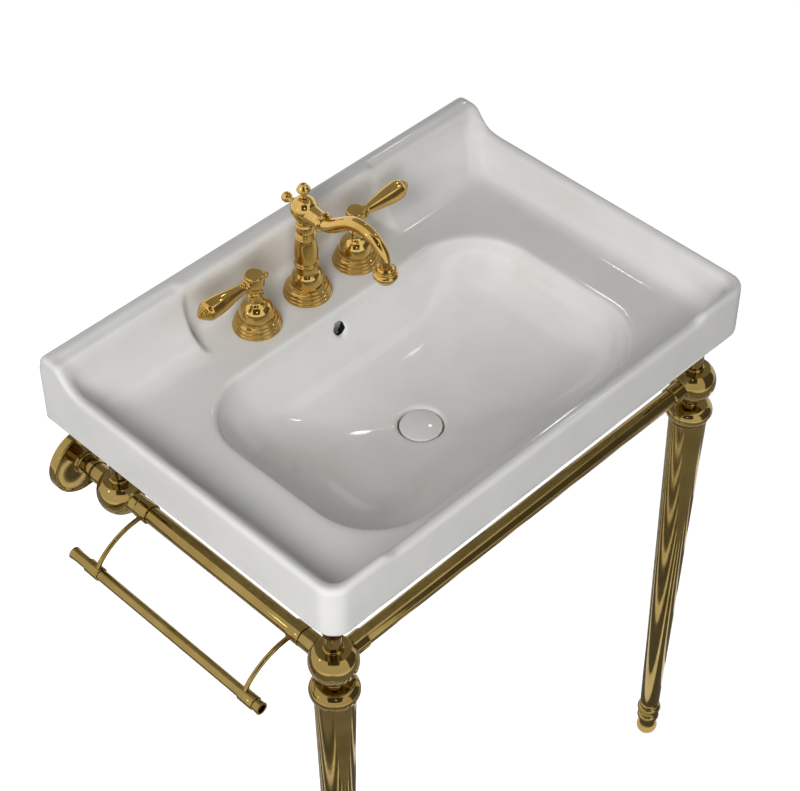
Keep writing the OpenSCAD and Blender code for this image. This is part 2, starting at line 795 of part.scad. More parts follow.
// Body of one valve: shank, chamber, inlet thread and outlet
module valve(side) {
    color("peru")
        translate([side * handle_x, -faucet_y, deck_z])
            difference() {
                union() {
                    translate([0, 0, -48])
                        cylinder(r = shank_r, h = 60);
                    translate([0, 0, -valve_drop])
                        cylinder(r = 16, h = 44);
                    translate([0, 0, -inlet_drop])
                        cylinder(r = inlet_r, h = inlet_drop - valve_drop + 2);
                    translate([0, 0, -tube_drop])
                        rotate([0, -side * 90, 0])
                            cylinder(r = 8, h = 27);
                }
                translate([0, 0, -78])
                    cylinder(r = 10, h = 92);
                translate([0, 0, -inlet_drop - 1])
                    cylinder(r = inlet_r - 3.2, h = 40);
                translate([0, 0, -tube_drop])
                    rotate([0, -side * 90, 0])
                        cylinder(r = tube_r, h = 28);
            }
}

// Disc cartridge pressed into one valve
module cartridge(x) {
    color("silver")
        translate([x, -faucet_y, deck_z])
            difference() {
                union() {
                    translate([0, 0, -56])
                        cylinder(r = 10, h = 68);
                    translate([0, 0, 12])
                        cylinder(r = 12, h = 4, $fn = 6);
                }
                translate([0, 0, -stem_drop - 1])
                    cylinder(r = stem_r + run_gap, h = 60);
                translate([0, 0, -57])
                    cylinder(r = 5, h = 25);
            }
}

// Stem of one cartridge, turned by the hub
module valve_stem(side) {
    color("peru")
        translate([side * handle_x, -faucet_y, deck_z - stem_drop])
            cylinder(r = stem_r, h = hub_z + stem_in + stem_drop);
}

// Rigid copper tubes from each valve to the tee
module cross_tubes() {
    color("sienna")
        for (s = [-1, 1])
            translate([s * 20, -faucet_y, deck_z - tube_drop])
                rotate([0, s * 90, 0])
                    tube(tube_r, 0.8, handle_x - 40);
}

// Compression nuts on the copper tubes
module tube_nuts() {
    color("peru")
        for (s = [-1, 1])
            for (x = [27, handle_x - 36])
                translate([s * x, -faucet_y, deck_z - tube_drop])
                    rotate([0, s * 90, 0])
                        hex_nut(19, tube_r, 9);
}

module drain_flange() {
    color("goldenrod")
        translate([0, -drain_y, 0])
            difference() {
                union() {
                    translate([0, 0, sink_z])
                        cylinder(r = cap_r + cap_gap - 0.4, h = seat_lip);
                    translate([0, 0, body_top_z - 12])
                        cylinder(r = spigot_r, h = lip_top_z - body_top_z + 12);
                }
                translate([0, 0, body_top_z - 20])
                    cylinder(r = bore_r, h = 60);
                for (a = [0:90:270])
                    rotate(a)
                        translate([bore_r - 3, -4, tunnel_z - 5])
                            cube([8, 8, 10]);
            }
}

module drain_gasket() {
    color("dimgray")
        translate([0, -drain_y, boss_z - washer_h])
            difference() {
                cylinder(r1 = 26, r2 = 32, h = washer_h);
                translate([0, 0, -1])
                    cylinder(r = body_r, h = washer_h + 2);
            }
}

module drain_locknut() {
    color("goldenrod")
        translate([0, -drain_y, boss_z - 2 * washer_h])
            hex_nut(56, body_r, washer_h);
}

module drain_body() {
    color("goldenrod")
        translate([0, -drain_y, 0])
            difference() {
                union() {
                    translate([0, 0, body_end_z])
                        cylinder(r = body_r, h = body_top_z - body_end_z);
                    translate([0, 0, pivot_z])
                        rotate([-90, 0, 0])
                            cylinder(r = 9, h = 34);
                }
                translate([0, 0, body_end_z + 12])
                    cylinder(r = spigot_r, h = body_top_z - body_end_z);
                translate([0, 0, body_end_z - 1])
                    cylinder(r = tail_thread_r, h = 14);
                translate([0, 16, pivot_z])
                    rotate([-90, 0, 0])
                        cylinder(r = 5, h = 20);
                translate([0, 30, pivot_z])
                    sphere(5.5 + run_gap);
                translate([0, 30, pivot_z])
                    rotate([-90, 0, 0])
                        cylinder(r = 5.5 + run_gap, h = 5);
                for (a = [0:90:270])
                    rotate(a)
                        translate([body_r - 5, -4, tunnel_z - 5])
                            cube([8, 8, 10]);
            }
}

module drain_tailpiece() {
    color("goldenrod")
        translate([0, -drain_y, body_end_z - tail_len])
            difference() {
                union() {
                    cylinder(r = tail_r, h = tail_len);
                    cylinder(r = tail_thread_r, h = tail_len + 12);
                }
                translate([0, 0, -1])
                    cylinder(r = tail_r - tail_wall, h = tail_len + 14);
            }
}

// Angle that the pivot rod makes with the level at rest, outer end down
module pivot_frame() {
    translate([0, pivot_y, pivot_z])
        rotate([-rest_tilt, 0, 0])
            children();
}

module pivot_rod() {
    color("silver")
        pivot_frame() {
            sphere(5.5);
            translate([0, outer_arm + 14, 0])
                rotate([90, 0, 0])
                    cylinder(r = 1.8, h = outer_arm + 14 + inner_arm);
        }
}

module pivot_nut() {
    color("goldenrod")
        translate([0, pivot_y, pivot_z])
            rotate([-90, 0, 0])
                difference() {
                    union() {
                        translate([0, 0, -4])
                            cylinder(r = 12.5, h = 13);
                        translate([0, 0, 9])
                            cylinder(r = 9, h = 2);
                    }
                    translate([0, 0, -5])
                        cylinder(r = 9, h = 9);
                    translate([0, 0, 3])
                        cylinder(r1 = 5.6, r2 = 4, h = 9);
                }
}

module lift_strap() {
    color("goldenrod")
        difference() {
            union() {
                translate([-5, strap_y - strap_t / 2, rod_end_z - 24])
                    cube([10, strap_t, strap_top - rod_end_z + 24]);
                translate([-5, strap_y - strap_t / 2, strap_top - 14])
                    cube([10, 11, 14]);
            }
            translate([0, -faucet_y, strap_top - 15])
                cylinder(r = rod_r, h = 16);
            for (i = [-2:2])
                translate([0, strap_y + 2.5, rod_end_z + i * 8])
                    rotate([90, 0, 0])
                        cylinder(r = 2.9, h = 5);
            translate([4, -faucet_y, strap_top - 7])
                rotate([0, 90, 0])
                    cylinder(r = 2, h = 4, center = true);
        }
}

module strap_screw() {
    color("goldenrod")
        translate([rod_r, -faucet_y, strap_top - 7])
            rotate([0, 90, 0]) {
                cylinder(r = 2, h = 4);
                translate([0, 0, 3])
                    cylinder(r = 5, h = 5, $fn = 24);
            }
}

module spring_clip() {
    color("silver")
        difference() {
            translate([-4, strap_y - 7, rod_end_z - 4])
                cube([10.6, 13, 8]);
            translate([-5, strap_y - 6.2, rod_end_z - 5])
                cube([10.8, 11.4, 10]);
            translate([0, strap_y + 8, rod_end_z])
                rotate([90, 0, 0])
                    cylinder(r = 2.9, h = 18);
        }
}

module stopper_stem() {
    color("goldenrod")
        translate([0, -drain_y, 0])
            difference() {
                union() {
                    translate([0, 0, cap_z - 3])
                        cylinder(r = 13, h = 5);
                    translate([0, 0, eye_z + 4])
                        cylinder(r = 3.2, h = cap_z - eye_z - 4);
                    translate([-6, -6, eye_z - 6])
                        cube([12, 10, 12]);
                    for (a = [0, 90])
                        rotate(a)
                            translate([-bore_r + 1.2, -0.8, cap_z - 38])
                                cube([2 * bore_r - 2.4, 1.6, 12]);
                }
                translate([0, 5, eye_z])
                    rotate([90, 0, 0])
                        cylinder(r = 3.4, h = 12);
            }
}

module stopper_seal() {
    color("dimgray")
        translate([0, -drain_y, cap_z - 3])
            difference() {
                cylinder(r = bore_r - free_gap, h = 3);
                translate([0, 0, -1])
                    cylinder(r = 13, h = 5);
            }
}

module stopper_cap() {
    dome_rise = 2.4;
    dome_r = (cap_r * cap_r + dome_rise * dome_rise) / (2 * dome_rise);
    span = asin((cap_r - 2) / dome_r);
    color("white")
        translate([0, -drain_y, cap_z])
            difference() {
                turned(concat([[0, 0], [cap_r - 0.8, 0], [cap_r, 0.8]],
                    arc([cap_r - 2, cap_h - dome_rise - 1.6], 2, 0, 70, 4),
                    arc([0, cap_h - dome_r], dome_r, 90 - span, 90, 8)));
                translate([0, 0, -1])
                    cylinder(r = 13, h = 3);
            }
}

// Positions of the four ball fittings, in plan
function joint_xy() = [[-leg_x, front_y], [leg_x, front_y], [-leg_x, rear_y], [leg_x, rear_y]];

// Hollow socket on a ball that points along the frame's +Z
module socket(end) {
    cylinder(r = rail_r + 1.6, h = end - 1.5);
    translate([0, 0, end - 1.5])
        cylinder(r1 = rail_r + 1.6, r2 = rail_r + 0.6, h = 1.5);
}

// Seat of a rail's end in its socket
module seat() {
    translate([0, 0, seat_in])
        cylinder(r = rail_r, h = socket_end);
}

// Cast ball that joins a post, rails and a leg, with a flat top and sockets along the rails
module joint_ball(x, y, turns) {
    color("darkgoldenrod")
        translate([x, y, rail_z])
            difference() {
                union() {
                    difference() {
                        sphere(ball_r);
                        translate([0, 0, ball_flat])
                            cylinder(r = ball_r, h = ball_r);
                    }
                    for (turn = turns)
                        rotate(turn)
                            socket(turn == along_front ? rear_socket_end : socket_end);
                }
                for (turn = turns)
                    rotate(turn)
                        seat();
                translate([0, 0, ball_flat - post_in])
                    cylinder(r = post_r - 3, h = 20);
            }
}

// Turned bell between a front ball and its leg
module leg_bell(x) {
    color("darkgoldenrod")
        translate([x, front_y, rail_z])
            difference() {
                turned(concat([[0, -bell_drop], [leg_top_r - 1, -bell_drop]],
                    arc([bell_r - 12.5, -49.5], 12.5, -68, 78, 10),
                    [[10.4, -36.6], [9.6, -35.6], [9.6, -32.5], [10.6, -31], [9.4, -29.5], [0, -26]]));
                sphere(ball_r);
            }
}

// Tapered front leg
module leg(x) {
    foot_top = floor_z + foot_h;
    leg_top = rail_z - bell_drop;
    hollow_h = leg_top - foot_top - 70;
    color("darkgoldenrod")
        translate([x, front_y, 0])
            difference() {
                turned([[0, foot_top], [leg_foot_r, foot_top], [leg_top_r, leg_top], [0, leg_top]]);
                translate([0, 0, foot_top + 30])
                    cylinder(r1 = leg_foot_r - leg_wall, r2 = leg_top_r - leg_wall, h = hollow_h);
            }
}

// Turned foot under a leg
module leg_foot(x) {
    color("darkgoldenrod")
        translate([x, front_y, floor_z])
            turned(concat([[0, 0], [5, 0]], arc([0, 15], 15, -65, 62, 10), [[7.4, 30.5], [8, 32.5]],
                arc([9.6, 39], 5.8, -75, 75, 6), [[9.4, 46.5], [9.4, 49.5]], arc([10.6, 57.5], 6, -80, 80, 6),
                [[9.6, foot_h - 6.5], [leg_foot_r - 2, foot_h - 4], [leg_foot_r, foot_h], [0, foot_h]]));
}

// Support post from a ball up to the underside of the basin, with a flared head
module support_posts() {
    head = under_z - pad_t;
    base = rail_z + ball_flat;
    color("darkgoldenrod")
        for (p = joint_xy())
            translate([p[0], p[1], 0])
                turned(concat([[0, base - post_in], [post_r - 3, base - post_in], [post_r - 3, base],
                    [post_r + 1.6, base], [post_r + 1.6, base + 2.4], [post_r, base + 3.4]],
                    curve([[post_r, base + 24], [post_r + 2, base + 30], [post_r + 5, base + 38],
                        [post_head_r, head - 14]], 6),
                    [[post_head_r, head], [0, head]]));
}

// Rubber pads between the posts and the ceramic
module support_pads() {
    color("dimgray")
        for (p = joint_xy())
            translate([p[0], p[1], under_z - pad_t])
                cylinder(r = post_head_r - 2, h = pad_t);
}

// Rail along the front, between the two front balls
module front_rail() {
    half = leg_x - seat_in;
    color("darkgoldenrod")
        translate([-half, front_y, rail_z])
            rotate([0, 90, 0])
                tube(rail_r, rail_wall, 2 * half);
}

// Rail along one side, between the front and the rear ball
module side_rail(side) {
    color("darkgoldenrod")
        translate([side * leg_x, rear_y - seat_in, rail_z])
            rotate([90, 0, 0])
                tube(rail_r, rail_wall, rear_y - front_y - 2 * seat_in);
}

// Plate that screws to the wall, with the stub tube that enters the rear ball
module wall_plate(x) {
    stub = rear_ball_y - seat_in;
    color("darkgoldenrod")
        translate([x, 0, rail_z])
            rotate([90, 0, 0])
                difference() {
                    union() {
                        cylinder(r = flange_r - cover_t - 1, h = plate_t);
                        cylinder(r = rail_r, h = stub);
                    }
                    translate([0, 0, plate_t])
                        cylinder(r = rail_r - rail_wall, h = stub);
                    for (i = [0:2])
                        rotate(90 + 120 * i)
                            translate([plate_pcd / 2, 0, -1])
                                cylinder(r = plate_hole_r, h = plate_t + 2);
                }
}

// Turned cover that hides a wall plate and its screws
module wall_flange(x) {
    t = flange_t;
    color("darkgoldenrod")
        translate([x, 0, rail_z])
            rotate([90, 0, 0])
                difference() {
                    turned(concat([[0, 0], [flange_r, 0]], arc([flange_r - 2.5, t - 4.5], 2.5, 0, 90, 4),
                        [[flange_r - 4, t - 2], [flange_r - 5.5, t - 3.6], [rail_r + 5, t - 1.6],
                        [rail_r + 3.4, t], [rail_r + 3.4, t + 2], [rail_r + 2, t + 3], [0, t + 3]]));
                    translate([0, 0, -1])
                        cylinder(r = flange_r - cover_t, h = t - 2 * cover_t + 1);
                    cylinder(r = rail_r, h = t + 4);
                }
}

module towel_bar() {
    flare = 10;
    color("darkgoldenrod")
        translate([bar_x, -towel_back, bar_z])
            rotate([90, 0, 0])
                difference() {
                    turned([[0, 0], [towel_r + 1, 0], [towel_r, flare], [towel_r, towel_len - flare],
                        [towel_r + 1, towel_len], [0, towel_len]]);
                    translate([0, 0, -1])
                        cylinder(r = towel_r - 1.5, h = towel_len + 2);
                }
}

// Curved arm from the left rail out and down to the towel bar, with a collar at each end
module towel_arm(y, out) {
    run = towel_out - arm_straight - arm_bend_r;
    top_r = (run * run + towel_drop * towel_drop - arm_bend_r * arm_bend_r) / (2 * (towel_drop - arm_bend_r));
    turn = atan2(run, top_r - towel_drop);
    path = concat([[leg_x, rail_z]], arc([leg_x + arm_straight, rail_z - top_r], top_r, 90, 90 - turn, 9),
        arc([-bar_x - arm_bend_r, bar_z], arm_bend_r, 81 - turn, 0, 5));
    color("darkgoldenrod")
        difference() {
            union() {
                translate([bar_x, y + (out * 12 + bar_collar) / 2, bar_z])
                    rotate([90, 0, 0])
                        cylinder(r = towel_r + 1.6, h = bar_collar);
                translate([-leg_x, y + out * arm_seat, rail_z])
                    rotate([out * 90, 0, 0])
                        cylinder(r = rail_r + 2, h = rail_collar);
                translate([0, y, 0])
                    rotate(90)
                        swept(path, [for (p = path) arm_r]);
            }
            translate([bar_x, y + bar_collar, bar_z])
                rotate([90, 0, 0])
                    cylinder(r = towel_r, h = 2 * bar_collar);
            translate([-leg_x, y + 2 * rail_collar, rail_z])
                rotate([90, 0, 0])
                    cylinder(r = rail_r, h = 4 * rail_collar);
        }
}

module left_bell() { handle_bell(-1); }
module right_bell() { handle_bell(1); }
module left_hub() { handle_hub(-1); }
module right_hub() { handle_hub(1); }
module left_handle_screw() { handle_screw(-1); }
module right_handle_screw() { handle_screw(1); }
module left_lever() { handle_lever(-1); }
module right_lever() { handle_lever(1); }
module left_valve() { valve(-1); }
module right_valve() { valve(1); }
module valve_cartridges() {
    for (s = [-1, 1])
        cartridge(s * handle_x);
}
module left_stem() { valve_stem(-1); }
module right_stem() { valve_stem(1); }
module front_left_ball() { joint_ball(-leg_x, front_y, [along_right, along_wall]); }
module front_right_ball() { joint_ball(leg_x, front_y, [along_left, along_wall]); }
module rear_left_ball() { joint_ball(-leg_x, rear_y, [along_front, along_wall]); }
module rear_right_ball() { joint_ball(leg_x, rear_y, [along_front, along_wall]); }
module leg_bells() {
    for (s = [-1, 1])
        leg_bell(s * leg_x);
}
module left_leg() { leg(-leg_x); }
module right_leg() { leg(leg_x); }
module leg_feet() {
    for (s = [-1, 1])
        leg_foot(s * leg_x);
}
module left_rail() { side_rail(-1); }
module right_rail() { side_rail(1); }
module wall_plates() {
    for (s = [-1, 1])
        wall_plate(s * leg_x);
}
module wall_flanges() {
    for (s = [-1, 1])
        wall_flange(s * leg_x);
}
module rear_towel_arm() { towel_arm(arm_rear_y, 1); }
module front_towel_arm() { towel_arm(arm_front_y, -1); }

basin();
spout_column();
spout_ball();
spout_arm();
aerator_shell();
aerator_screen();
rear_finial();
rod_guide();
lift_rod();
lift_knob();
spout_shank();
spout_tee();
deck_washers();
deck_locknuts();
left_bell();
right_bell();
left_hub();
right_hub();
left_handle_screw();
right_handle_screw();
left_lever();
right_lever();
left_valve();
right_valve();
valve_cartridges();
left_stem();
right_stem();
cross_tubes();
tube_nuts();
drain_flange();
drain_gasket();
drain_locknut();
drain_body();
drain_tailpiece();
pivot_rod();
pivot_nut();
lift_strap();
strap_screw();
spring_clip();
stopper_stem();
stopper_seal();
stopper_cap();
front_left_ball();
front_right_ball();
rear_left_ball();
rear_right_ball();
leg_bells();
left_leg();
right_leg();
leg_feet();
support_posts();
support_pads();
front_rail();
left_rail();
right_rail();
wall_flanges();
wall_plates();
towel_bar();
front_towel_arm();
rear_towel_arm();
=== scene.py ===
# %% [markdown]
# A console basin: a white glazed washbasin that hangs on the wall and rests on a polished
# brass stand with two turned legs, a towel bar, a three-hole faucet and a pop-up waste.
# The solids of every piece come from the construction model. This script loads them as a
# fixed frame, puts finer meshes over the pieces that the eye rests on, gives every piece a
# material that is made from nodes, and sets the camera and the lights.

# %% Load the frame
import json
import math
import bpy
import numpy as np
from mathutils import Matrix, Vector

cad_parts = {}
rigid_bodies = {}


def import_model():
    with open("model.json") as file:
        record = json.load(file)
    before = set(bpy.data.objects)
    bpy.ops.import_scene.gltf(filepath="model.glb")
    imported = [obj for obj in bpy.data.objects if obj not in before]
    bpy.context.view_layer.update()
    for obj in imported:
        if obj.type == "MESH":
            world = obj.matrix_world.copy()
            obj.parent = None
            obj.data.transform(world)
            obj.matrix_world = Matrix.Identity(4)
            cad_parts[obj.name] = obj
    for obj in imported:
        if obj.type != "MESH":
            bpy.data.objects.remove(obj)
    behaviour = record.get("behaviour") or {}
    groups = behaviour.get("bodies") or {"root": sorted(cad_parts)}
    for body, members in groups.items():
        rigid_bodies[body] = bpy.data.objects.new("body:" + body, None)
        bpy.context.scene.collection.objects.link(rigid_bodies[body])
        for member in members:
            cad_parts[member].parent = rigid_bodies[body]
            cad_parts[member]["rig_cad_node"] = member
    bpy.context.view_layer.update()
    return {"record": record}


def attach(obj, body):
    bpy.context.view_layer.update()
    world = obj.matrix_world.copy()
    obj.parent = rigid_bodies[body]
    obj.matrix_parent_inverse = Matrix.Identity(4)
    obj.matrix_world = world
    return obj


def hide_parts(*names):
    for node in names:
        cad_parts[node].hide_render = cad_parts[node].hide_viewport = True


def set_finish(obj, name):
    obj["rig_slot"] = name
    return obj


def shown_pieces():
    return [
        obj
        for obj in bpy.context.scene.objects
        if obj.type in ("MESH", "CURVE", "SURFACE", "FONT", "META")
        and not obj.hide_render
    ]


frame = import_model()

# %% [markdown]
# The construction model is drawn in millimetres and Blender works in metres, so every size
# below is written in millimetres and turned into metres in one place. Colours are written
# as the hex values that a paint chart gives, which are sRGB, and one function turns them
# into the linear values that shaders expect.

# %% Units and colours
MM = 0.001


def linear(hex_colour):
    """Linear RGBA of an sRGB hex colour."""
    parts = [int(hex_colour[i:i + 2], 16) / 255 for i in (1, 3, 5)]
    return [p / 12.92 if p <= 0.04045 else ((p + 0.055) / 1.055) ** 2.4 for p in parts] + [1.0]


# %% [markdown]
# The sizes repeat the driving dimensions of the construction model. The origin lies on the
# wall, midway between the wall bolts; X runs to the right, Y into the wall and Z up. BEYOND is
# a level that lies well above the basin, where the cutting outlines may end.

# %% Sizes of the basin and the stand
BASIN_W, BASIN_D = 686, 476
HALF_W = BASIN_W / 2
DECK_Z, DECK_T, RIM_H, LEDGE_H = 51, 20, 48, 28
RIM_Z = DECK_Z + RIM_H
LEDGE_Z = RIM_Z + LEDGE_H
UNDER_Z = DECK_Z - DECK_T
SKIRT_Z = UNDER_Z - 5
LEG_X, FRONT_Y, REAR_Y, RAIL_Z, FLOOR_Z = HALF_W - 35, -437, -79, -64, -780
FAUCET_Y, HANDLE_X, HEAD_H, HEAD_R = -77, 82.5, 130, 16.5
HEAD_Z = DECK_Z + HEAD_H
DRAIN_Y = -269
BEYOND = 300
print("basin", BASIN_W, "x", BASIN_D, "mm, rim", RIM_Z - FLOOR_Z, "mm above the floor")

# %% [markdown]
# A ceramic basin is cast from slip in a plaster mould, so it has no sharp edge anywhere and
# its walls flow into each other. Such a form could be modelled from a cage with a subdivision
# surface, but the many places where walls meet would each need loops by hand. Here it is
# described as a distance field instead: every wall, hollow and hole is a simple function that
# is negative inside, and a soft minimum or maximum joins two of them with a rounded edge, as
# the glaze does. A surface net then finds the skin where the field is zero.

# %% Distance fields


def soft_max(a, b, k):
    """The larger of two fields, rounded over k mm: cuts, and the outer edges of a solid."""
    h = np.maximum(k - np.abs(a - b), 0) / k
    return np.maximum(a, b) + h * h * k / 4


def soft_min(a, b, k):
    """The smaller of two fields, rounded over k mm: joins two solids with a fillet."""
    return -soft_max(-a, -b, k)


def polygon_field(points, u, v):
    """Distance to a polygon in its own plane, negative inside, on a grid of u by v."""
    uu, vv = u[:, None], v[None, :]
    nearest = np.full((len(u), len(v)), 1e9)
    inside = np.zeros((len(u), len(v)), bool)
    for (au, av), (bu, bv) in zip(points, points[1:] + points[:1]):
        eu, ev = bu - au, bv - av
        t = np.clip(((uu - au) * eu + (vv - av) * ev) / (eu * eu + ev * ev), 0, 1)
        nearest = np.minimum(nearest, (uu - au - t * eu) ** 2 + (vv - av - t * ev) ** 2)
        if ev:
            inside ^= ((av > vv) != (bv > vv)) & (uu < eu * (vv - av) / ev + au)
    return np.where(inside, -1, 1) * np.sqrt(nearest)


def round_box(x, y, half_x, half_y, r):
    """Distance to a rectangle with round corners about the origin."""
    qx, qy = np.abs(x) - half_x + r, np.abs(y) - half_y + r
    return np.hypot(np.maximum(qx, 0), np.maximum(qy, 0)) + np.minimum(np.maximum(qx, qy), 0) - r


# %% [markdown]
# Most outlines on a basin and its fittings are arcs and slow curves. Blender has curve objects
# for them, but points from a formula can be used both in the distance field and in the spun
# pieces further down.

# %% Curves for profiles


def arc(centre, radius, start, end, steps=12):
    """Points on an arc, with angles in degrees."""
    angles = [math.radians(start + (end - start) * i / steps) for i in range(steps + 1)]
    return [(centre[0] + radius * math.cos(a), centre[1] + radius * math.sin(a)) for a in angles]


def curve(p, q, r, s, steps=20):
    """Points on a cubic curve with four control points."""
    out = []
    for i in range(steps + 1):
        t = i / steps
        w = ((1 - t) ** 3, 3 * (1 - t) ** 2 * t, 3 * (1 - t) * t * t, t ** 3)
        out.append(tuple(sum(k * c[n] for k, c in zip(w, (p, q, r, s))) for n in range(len(p))))
    return out


# %% [markdown]
# The field lives on a grid whose lines lie closer where the form is fine: at the rim, at the
# edges of the faucet recess and round the waste.

# %% Grid of the basin


def grid_lines(stops):
    """Coordinates from the first stop to the last; each stop is (place, spacing from there on)."""
    lines = []
    for (a, gap), (b, _) in zip(stops, stops[1:]):
        count = max(1, round((b - a) / gap))
        lines += [a + (b - a) * i / count for i in range(count)]
    return np.array(lines + [stops[-1][0]], float)


half = grid_lines([(0, 2), (34, 5.5), (144, 2.5), (169, 5.5), (292, 2.5), (350, 2)])
grid_x = np.concatenate([-half[:0:-1], half])
grid_y = grid_lines([(-482, 2.5), (-434, 5.5), (-303, 2), (-235, 5.5), (-152, 2.8), (6, 2)])
grid_z = grid_lines([(-88, 5), (22, 2.5), (70, 4), (86, 2.5), (133, 2)])
X, Y, Z = grid_x[:, None, None], grid_y[None, :, None], grid_z[None, None, :]
print("grid of", len(grid_x), "x", len(grid_y), "x", len(grid_z))

# %% [markdown]
# The outer body is the plan outline, which has 25 mm corners at the front and tight ones at
# the wall, cut by a side profile: high at the ledge, then an S-shaped sweep to the side rim.
# The front rim is a little lower between two soft kinks.

# %% Outer body of the basin
back_edge = curve((0, LEDGE_Z - 15), (0, LEDGE_Z - 5), (-6, LEDGE_Z), (-14, LEDGE_Z), 12)
sweep = curve((-28, LEDGE_Z), (-43, LEDGE_Z), (-44, RIM_Z + 4), (-66, RIM_Z + 1), 24)
settle = curve((-66, RIM_Z + 1), (-73, RIM_Z), (-80, RIM_Z), (-90, RIM_Z), 8)
rim_side = [(20, -200), (20, LEDGE_Z - 15)] + back_edge + sweep + settle[1:]
rim_side += [(-520, RIM_Z), (-520, -200)]
FRONT_CORNER_R, REAR_CORNER_R = 25.0, 3.0
corner_r = np.where(Y < -BASIN_D / 2, FRONT_CORNER_R, REAR_CORNER_R)
plan = round_box(X, Y + BASIN_D / 2, HALF_W, BASIN_D / 2, corner_r)
top = polygon_field(rim_side, grid_y, grid_z)[None]
DIP_HALF, DIP_TOP, DIP_H, DIP_BACK = 249, 258, 7, -440
dip = [(-DIP_TOP, RIM_Z), (-DIP_HALF, RIM_Z - DIP_H), (DIP_HALF, RIM_Z - DIP_H), (DIP_TOP, RIM_Z),
       (DIP_TOP, BEYOND), (-DIP_TOP, BEYOND)]
dip = soft_max(polygon_field(dip, grid_x, grid_z)[:, None, :], Y - DIP_BACK, 6)
body = soft_max(plan, top, 7)
body = soft_max(body, -dip, 6)
body = soft_max(body, SKIRT_Z - Z, 4)

# %% [markdown]
# The tray is what the mould's core leaves: leaning rim walls, a flat deck and, behind it, a
# cove that sweeps up to the ledge. The faucet stands in a recess of that cove. Across the
# recess's ends the two side profiles are mixed, which leaves a soft ramp between them.

# %% Tray, cove and faucet recess
FOOT_Y, WALL_Y = -(BASIN_D - 23), -463
LIP_Y, COVE_Y, KNEE = -25, -84, (-38, LEDGE_Z - 23)
cove = curve((COVE_Y, DECK_Z), (COVE_Y + 22, DECK_Z + 2), (-44, DECK_Z + 25), KNEE, 24)
cove += curve(KNEE, (-35.5, LEDGE_Z - 9), (-34, LEDGE_Z), (LIP_Y, LEDGE_Z), 10)[1:]
front_wall = [(WALL_Y, RIM_Z), (WALL_Y, BEYOND), (LIP_Y, BEYOND)]
FILLET = 14
front_foot = arc((FOOT_Y + 11.4, DECK_Z + FILLET), FILLET, -90, -168, 10)
cove_side = polygon_field(front_wall + cove[::-1] + front_foot, grid_y, grid_z)[None]
recess = [(-34, BEYOND), (-34, LEDGE_Z - 7)] + arc((-46, DECK_Z + FILLET), FILLET, 0, -90, 12)
recess_side = polygon_field(front_wall[:2] + recess + front_foot, grid_y, grid_z)[None]
RAMP_X, RAMP_W = 156, 13
mix = np.clip((RAMP_X + RAMP_W / 2 - np.abs(X)) / RAMP_W, 0, 1)
mix = mix * mix * (3 - 2 * mix)
SIDE_FOOT, SIDE_LEAN, LEAN_COS = 29, 16, 0.95
lean = HALF_W - SIDE_FOOT + SIDE_LEAN * (Z - DECK_Z) / RIM_H
hollow = soft_max((1 - mix) * cove_side + mix * recess_side, (np.abs(X) - lean) * LEAN_COS, 22)

# %% [markdown]
# The bowl's outline is a rectangle with round corners. It shrinks towards the waste as it
# goes down, along a quarter of an ellipse, steep at the top and flat at the waste.

# %% Bowl
BOWL_HALF_W, BOWL_HALF_L, BOWL_R, BOWL_CY, BOWL_DEPTH = 237, 150.5, 82, -277.5, 91
BOWL_Z = DECK_Z - BOWL_DEPTH
BOWL_WALL = 12
BOWL_POWER = 2.0


def outline_scale(grow):
    """For each x, y: the scale about the waste at which the bowl's outline passes through it."""
    x, y = grid_x[:, None], grid_y[None, :]
    low, high = np.full((len(grid_x), len(grid_y)), 1e-3), np.full((len(grid_x), len(grid_y)), 4.0)
    for _ in range(26):
        mid = np.sqrt(low * high)
        field = round_box(x / mid, (y - DRAIN_Y) / mid + DRAIN_Y - BOWL_CY,
                          BOWL_HALF_W + grow, BOWL_HALF_L + grow, BOWL_R + grow)
        outside = field > 0
        low, high = np.where(outside, mid, low), np.where(outside, high, mid)
    return mid[:, :, None]


def bowl_field(grow, depth):
    """Near distance to the bowl's surface, grown by grow mm."""
    down = np.maximum(DECK_Z - Z, 0) / depth
    raw = (outline_scale(grow) ** BOWL_POWER + down ** BOWL_POWER) ** (1 / BOWL_POWER) - 1
    slope = np.sqrt(sum(g * g for g in np.gradient(raw, grid_x, grid_y, grid_z)))
    return raw / np.maximum(slope, 1 / 400)


bowl = bowl_field(0, BOWL_DEPTH)
shell = bowl_field(BOWL_WALL, BOWL_DEPTH + BOWL_WALL)

# %% [markdown]
# Underneath, the basin is open: a lip runs round it, the bowl hangs down with a boss at the
# waste, a rib at the back holds the overflow way, and a panel takes the wall bolts.

# %% Underside
BOSS_Z, BOSS_R, LIP_T = -74.1, 36, 13
under = round_box(X, Y + BASIN_D / 2, HALF_W - LIP_T, BASIN_D / 2 - LIP_T, 14)
under = soft_max(under, Z - UNDER_Z, 3)
body = soft_max(body, -hollow, 10)
body = soft_max(body, -under, 4)
body = soft_min(body, soft_max(shell, Z - DECK_Z + 5, 2), 6)
PANEL_HALF_W, PANEL_T, PANEL_Z, PANEL_H = 190, 20, 5, 60
panel = round_box(X, Y + PANEL_T / 2, PANEL_HALF_W, PANEL_T / 2, 2)
panel = soft_max(panel, np.abs(Z - PANEL_Z) - PANEL_H / 2, 3)
body = soft_min(body, panel, 4)
round_waste = np.hypot(X, Y - DRAIN_Y)
boss = soft_max(round_waste - BOSS_R, np.abs(Z - (BOSS_Z + BOWL_Z) / 2) - (BOWL_Z - BOSS_Z) / 2, 4)
body = soft_min(body, boss, 6)
rib = [(-109.5, 43), (-109.5, 4), (-194, -70), (-231, -74), (-231, -54.5), (-202, -52.3),
       (-128.5, 12), (-128.5, 43)]
